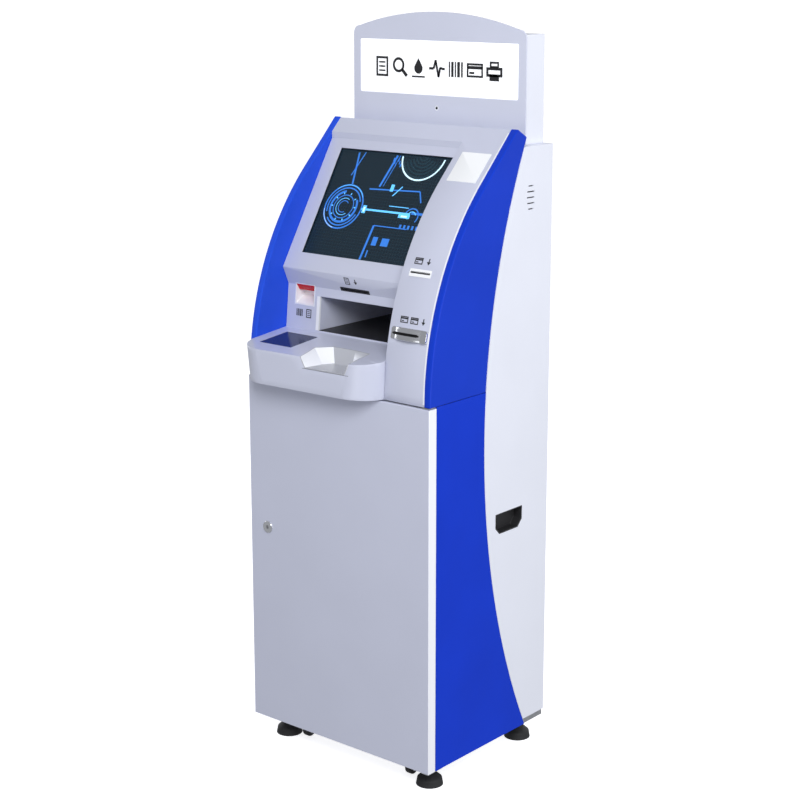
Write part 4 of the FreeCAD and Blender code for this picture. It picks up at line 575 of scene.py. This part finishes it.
def bezel_stand(u):
    """Height of the bezel's front over the column: a bulge, a groove, then a flat block."""
    if u > block_start:
        return block_stand
    if u > groove_start:
        return groove_stand
    return max(math.sqrt(bulge_radius ** 2 - (u + bulge_shift) ** 2) - bulge_sink, bezel_least)


def bezel_columns(half_width):
    """Where the bezel's mesh has its columns: close together at its ends, groove and slot."""
    start = half_width - bezel_corner
    columns = [-half_width, -half_width + 0.8, -half_width + 2.2, -half_width + 4.2]
    columns += [-start + column_step * k for k in range(int(2 * start / column_step) + 1)]
    columns += [half_width - 3.6, half_width - 1.8, half_width - 0.6, half_width]
    columns += [at + side * step_gap for at in (groove_start, block_start) for side in (-1, 1)]
    columns += [slot_shift + side * reach for reach in (slot_half, slot_half - slot_end) for side in (-1, 1)]
    return sorted(set(round(c, 3) for c in columns if c <= half_width))


def bezel_section(u, half_width):
    """One column of the bezel's front, from its top rim to its bottom rim, as (v, stand)."""
    past = max(abs(u) - (half_width - bezel_corner), 0)
    rim = bezel_half_height - bezel_corner + math.sqrt(max(bezel_corner ** 2 - past ** 2, 0))
    low = slot_rise if abs(u - slot_shift) < slot_half - slot_end else slot_end_rise
    top = bezel_stand(u) - (bezel_end_fall if half_width - abs(u) < 0.5 else 0)
    half = [(rim - inset, max(top - fall, 0.5)) for inset, fall in rim_steps] + [((rim + low) / 2, top), (low, top)]
    return half + [(-v, stand) for v, stand in reversed(half)]


def make_lower_bezel():
    """The lower reader's convex bezel, with a groove at its right. A black plate closes its wide throat and is
    painted shade for the slot's dark inside.
    """
    low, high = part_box("bank_card_bezel")
    half_width = (high.x - low.x) / MM / 2
    face = column_face((low.x + high.x) / 2, (low.z + high.z) / 2, 24 * MM)
    columns = bezel_columns(half_width)
    grid = [bezel_section(u, half_width) for u in columns]
    rows, wide = len(grid[0]), len(columns) - 1
    in_slot = [abs((a + b) / 2 - slot_shift) < slot_half for a, b in zip(columns, columns[1:])]
    vertices = [face.at(u, v, stand) for u, line in zip(columns, grid) for v, stand in line]
    base = len(vertices)
    vertices += [face.at(u, v, bezel_base) for u, line in zip(columns, grid) for v, _ in line]

    def solid(i, j):
        return 0 <= i < wide and 0 <= j < rows - 1 and not (j == rows // 2 - 1 and in_slot[i])
    faces = []
    for i, j in ((i, j) for i in range(wide) for j in range(rows - 1) if solid(i, j)):
        a, b, c, d = i * rows + j, (i + 1) * rows + j, (i + 1) * rows + j + 1, i * rows + j + 1
        faces += [(a, d, c, b), (base + a, base + b, base + c, base + d)]
        sides = (((a, b), (i, j - 1)), ((b, c), (i + 1, j)), ((c, d), (i, j + 1)), ((d, a), (i - 1, j)))
        faces += [(p, q, base + q, base + p) for (p, q), beyond in sides if not solid(*beyond)]
    bezel = face_outwards(mesh_piece("bank_bezel_face", vertices, faces, "cabinet", "silver_bezel"))
    for polygon in bezel.data.polygons:
        polygon.use_smooth = True
    bezel.data.set_sharp_from_angle(angle=math.radians(35))
    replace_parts(bezel, "bank_card_bezel")
    slot_liner("lower_card_throat", face, 2 * slot_half - 1.0, 2 * slot_rise - 1.0, 0.6,
               lambda u: bezel_stand(u) - 0.6, 0.6, shift=slot_shift, wall=0.5)
    back = rounded_outline(2 * slot_half - 1.4, 2 * slot_rise - 1.4, 1.2)
    # painted shade: a black plate standing for the dark inside the slot
    swept("lower_card_shadow", [[face.at(slot_shift + x, y, lift) for x, y in back] for lift in (0.8, 0.3)],
          "cabinet", "black_and_painted_hollow_shade")


# The red window's section, as parts of its box's depth and height.
scan_profile = ((0.01, 0.98), (0.02, 0.90), (0.34, 0.06), (0.37, 0.02), (0.95, 0.02), (0.96, 0.05))


def make_scan_window():
    """The niche's red window: a glossy wedge that leans out under the niche's roof."""
    low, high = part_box("scanner_window")
    section = [(low.y + a * (high.y - low.y), low.z + b * (high.z - low.z)) for a, b in scan_profile]
    rings = [[Vector((x, y, z)) for y, z in section] for x in (low.x, high.x)]
    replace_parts(swept("red_scan_window", rings, "cabinet", "red_window"), "scanner_window")


edge_half_width, edge_height, edge_sink, edge_stations = 2.3, 0.9, -0.3, 60      # mm, and how many sections


def make_column_edge():
    """The bright rolled edge between the card column and the right cheek, painted white as a highlight where the
    grey cover's edge catches the light.
    """
    low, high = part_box("front_cover")
    x, first, length = high.x - (edge_half_width + 0.3) * MM, low.z + 6 * MM, high.z - low.z - 14 * MM
    turns = [math.radians(180 * k / 6) for k in range(7)]
    rings = []
    for i in range(edge_stations + 1):
        place, normal = face_point("front_cover", x, first + length * i / edge_stations)
        edge = Face(place, normal.cross(sideways))
        rings.append([edge.at(edge_half_width * math.cos(a), 0, edge_height * math.sin(a)) for a in turns]
                     + [edge.at(-edge_half_width, 0, edge_sink), edge.at(edge_half_width, 0, edge_sink)])
    swept("column_edge_painted_highlight", rings, "cabinet", "white_trim_and_painted_highlight")


def make_camera_ring():
    low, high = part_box("camera_module")
    header_low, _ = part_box("header_plate")
    place = Vector(((low.x + high.x) / 2, header_low.y, (low.z + high.z) / 2))
    for name, shapes, material, slot, thickness in (
            ("camera_ring", ring(0, 0, 5.0, 2.2, step=10), "white_trim_and_painted_highlight", "white_paint", 0.25),
            ("camera_lens", disc(0, 0, 2.9, 24), "black_and_painted_hollow_shade", "black_plastic", 0.2)):
        printed(name, shapes, place, sideways, upright, "cabinet", material, thickness)


def make_key_slots():
    """The key's slot in each lock's core, printed black as painted shade of the keyway; it turns with the cam's
    body.
    """
    for name, lock, back in (("front_key_slot", "front_lock", False), ("rear_key_slot", "rear_lock", True)):
        middle, core = centre(lock), lock + "_cam"
        place, _ = face_point(core, middle.x, middle.z, back)
        printed(name, [rect(0, 0, 1.6, 7.0), *disc(0, 0, 1.6, 16)], place, -sideways if back else sideways, upright,
                core, "black_and_painted_hollow_shade", 0.1)


def make_scoop_line():
    """The shadow line under the scoop's mouth, along the console's front."""
    low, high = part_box("pickup_scoop")
    first, length, stations = low.x + 26 * MM, high.x - low.x - 28 * MM, 24
    section = ((0.6, 0.12), (-0.5, 0.12), (-0.5, -0.1), (0.6, -0.1))      # mm up, and out from the console
    rings = []
    for i in range(stations + 1):
        place, normal = face_point("console_shelf", first + length * i / stations, low.z - 0.6 * MM)
        side = Face(place, upright, upright.cross(-normal))
        rings.append([side.at(0, up, out) for up, out in section])
    swept("scoop_shadow_line", rings, "cabinet", "grey_line")


# ---- what the screen shows: plain rings and bars, laid out much as on the photo's screen --------
# All in millimetres. Rings are (radius, stroke, start, end) round the dial; grid_pitch is the grid's spacing.
behind_glass, lit_thickness, layer, grid_pitch, grid_stroke = 3.5, 0.05, 0.06, 8.0, 0.8
dial_rings = ((57, 4, 0, 360), (49, 3.5, 20, 200), (49, 3.5, 220, 340), (40, 6, 100, 390), (30, 2.5, 0, 360),
              (15, 2, 40, 300))
dial_glints = ((57, 1.2, 30, 130), (22, 1.6, 60, 310))
globe_radius, globe_rings = 64.0, 6


def make_display():
    low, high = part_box("touch_glass")
    middle = (low + high) / 2
    place, normal = face_point("touch_glass", middle.x, middle.z)
    up = normal.cross(sideways)
    width = (high.x - low.x) / MM - 16
    height = (high.z - low.z) / MM / up.z - 20
    w, h = width / 2, height / 2
    dial_x, dial_y = -0.30 * width, -0.03 * height
    behind = place - normal * behind_glass * MM

    def lit(name, shapes, material, level):
        printed(name, shapes, behind + normal * level * layer * MM, sideways, up, "cabinet", material,
                lit_thickness)

    def arcs(rows):
        return [patch for row in rows for patch in ring(dial_x, dial_y, *row)]

    def strokes(*rows):
        return [bar(*row) for row in rows]

    def blocks(*rows):
        return [rect(*row) for row in rows]

    lit("display_field", blocks((0, 0, width + 4, height + 4)), "display_black", 0)
    columns, rows = int(w / grid_pitch), int(h / grid_pitch)
    grid = [rect(x * grid_pitch, 0, grid_stroke, height) for x in range(-columns, columns + 1)]
    grid += [rect(0, y * grid_pitch, width, grid_stroke) for y in range(-rows, rows + 1)]
    lit("display_grid", grid, "display_grid", 1)

    blue = arcs(dial_rings) + strokes(
        (dial_x + 2, dial_y + 60, dial_x - 12, h - 4, 5), (dial_x - 12, dial_y + 82, dial_x + 8, h - 2, 3),
        (dial_x + 60, dial_y + 52, w * 0.62, dial_y + 58, 3.5), (w * 0.62, dial_y + 58, w * 0.70, dial_y + 30, 3.5),
        (w * 0.02, h - 3, -w * 0.10, dial_y + 60, 6), (w * 0.07, h - 3, -w * 0.04, dial_y + 62, 2),
        (w * 0.05, -h * 0.34, w * 0.62, -h * 0.34, 2.5), (w * 0.05, -h * 0.34, w * 0.02, -h + 3, 6))
    blue += blocks((w * 0.16, -h * 0.62, 15, 22), (w * 0.34, -h * 0.62, 22, 20), (w * 0.10, -h * 0.86, 4, 18))
    blue += ring(w * 0.62, dial_y - 6, 20, 3, -40, 180) + blocks((w * 0.72, dial_y + 2, 40, 6))
    for k in range(6):
        blue += blocks((w * (0.50 + 0.07 * k), dial_y - 34, 6, 10), (-w * 0.02 + k * 5, h - 14 - 7 * (k % 3), 3, 9))
    lit("display_lines", blue, "display_blue", 2)

    sky = arcs(dial_glints) + blocks(
        (w * 0.16, dial_y - 1, 150, 5), (-w * 0.22, dial_y - 1, 11, 20), (w * 0.50, dial_y - 8, 34, 9))
    sky += strokes((w * 0.18, dial_y + 40, w * 0.30, dial_y + 66, 3)) + blocks((w * 0.13, dial_y + 60, 10, 18))
    sky += ring(w * 0.62, dial_y - 6, 12, 2, 20, 220) + blocks((w * 0.36, dial_y + 14, 60, 2))
    for k in range(10):
        c, d = math.cos(math.radians(36 * k)), math.sin(math.radians(36 * k))
        sky += strokes((dial_x + 33 * c, dial_y + 33 * d, dial_x + 38 * c, dial_y + 38 * d, 3))
    lit("display_marks", sky, "display_sky", 3)

    def globe_arc(radius, start, end):
        """An arc of the globe, whose middle is just over the picture's top edge."""
        patches = ring(w * 0.48, h * 1.02, radius, 4, start, end)
        return [patch for patch in patches if max(y for _, y in patch) < h]
    lit("display_horizon", globe_arc(globe_radius, 180, 360), "display_pale", 4)
    limb = [patch for r in range(globe_rings) for patch in globe_arc(globe_radius - 6 - 9 * r, 200, 340)]
    lit("display_globe", limb, "display_grid", 4)
    pale = blocks((-w * 0.22, dial_y - 1, 5, 12), (w * 0.50, dial_y - 8, 18, 4)) + arcs([(57, 0.8, 190, 260)])
    lit("display_highlights", pale, "display_pale", 5)


materials = make_materials()
make_camera()
make_stage()
dress_frame_nodes()
make_prints()
make_upper_slot()
make_lower_bezel()
make_scan_window()
make_column_edge()
make_camera_ring()
make_key_slots()
make_scoop_line()
make_display()
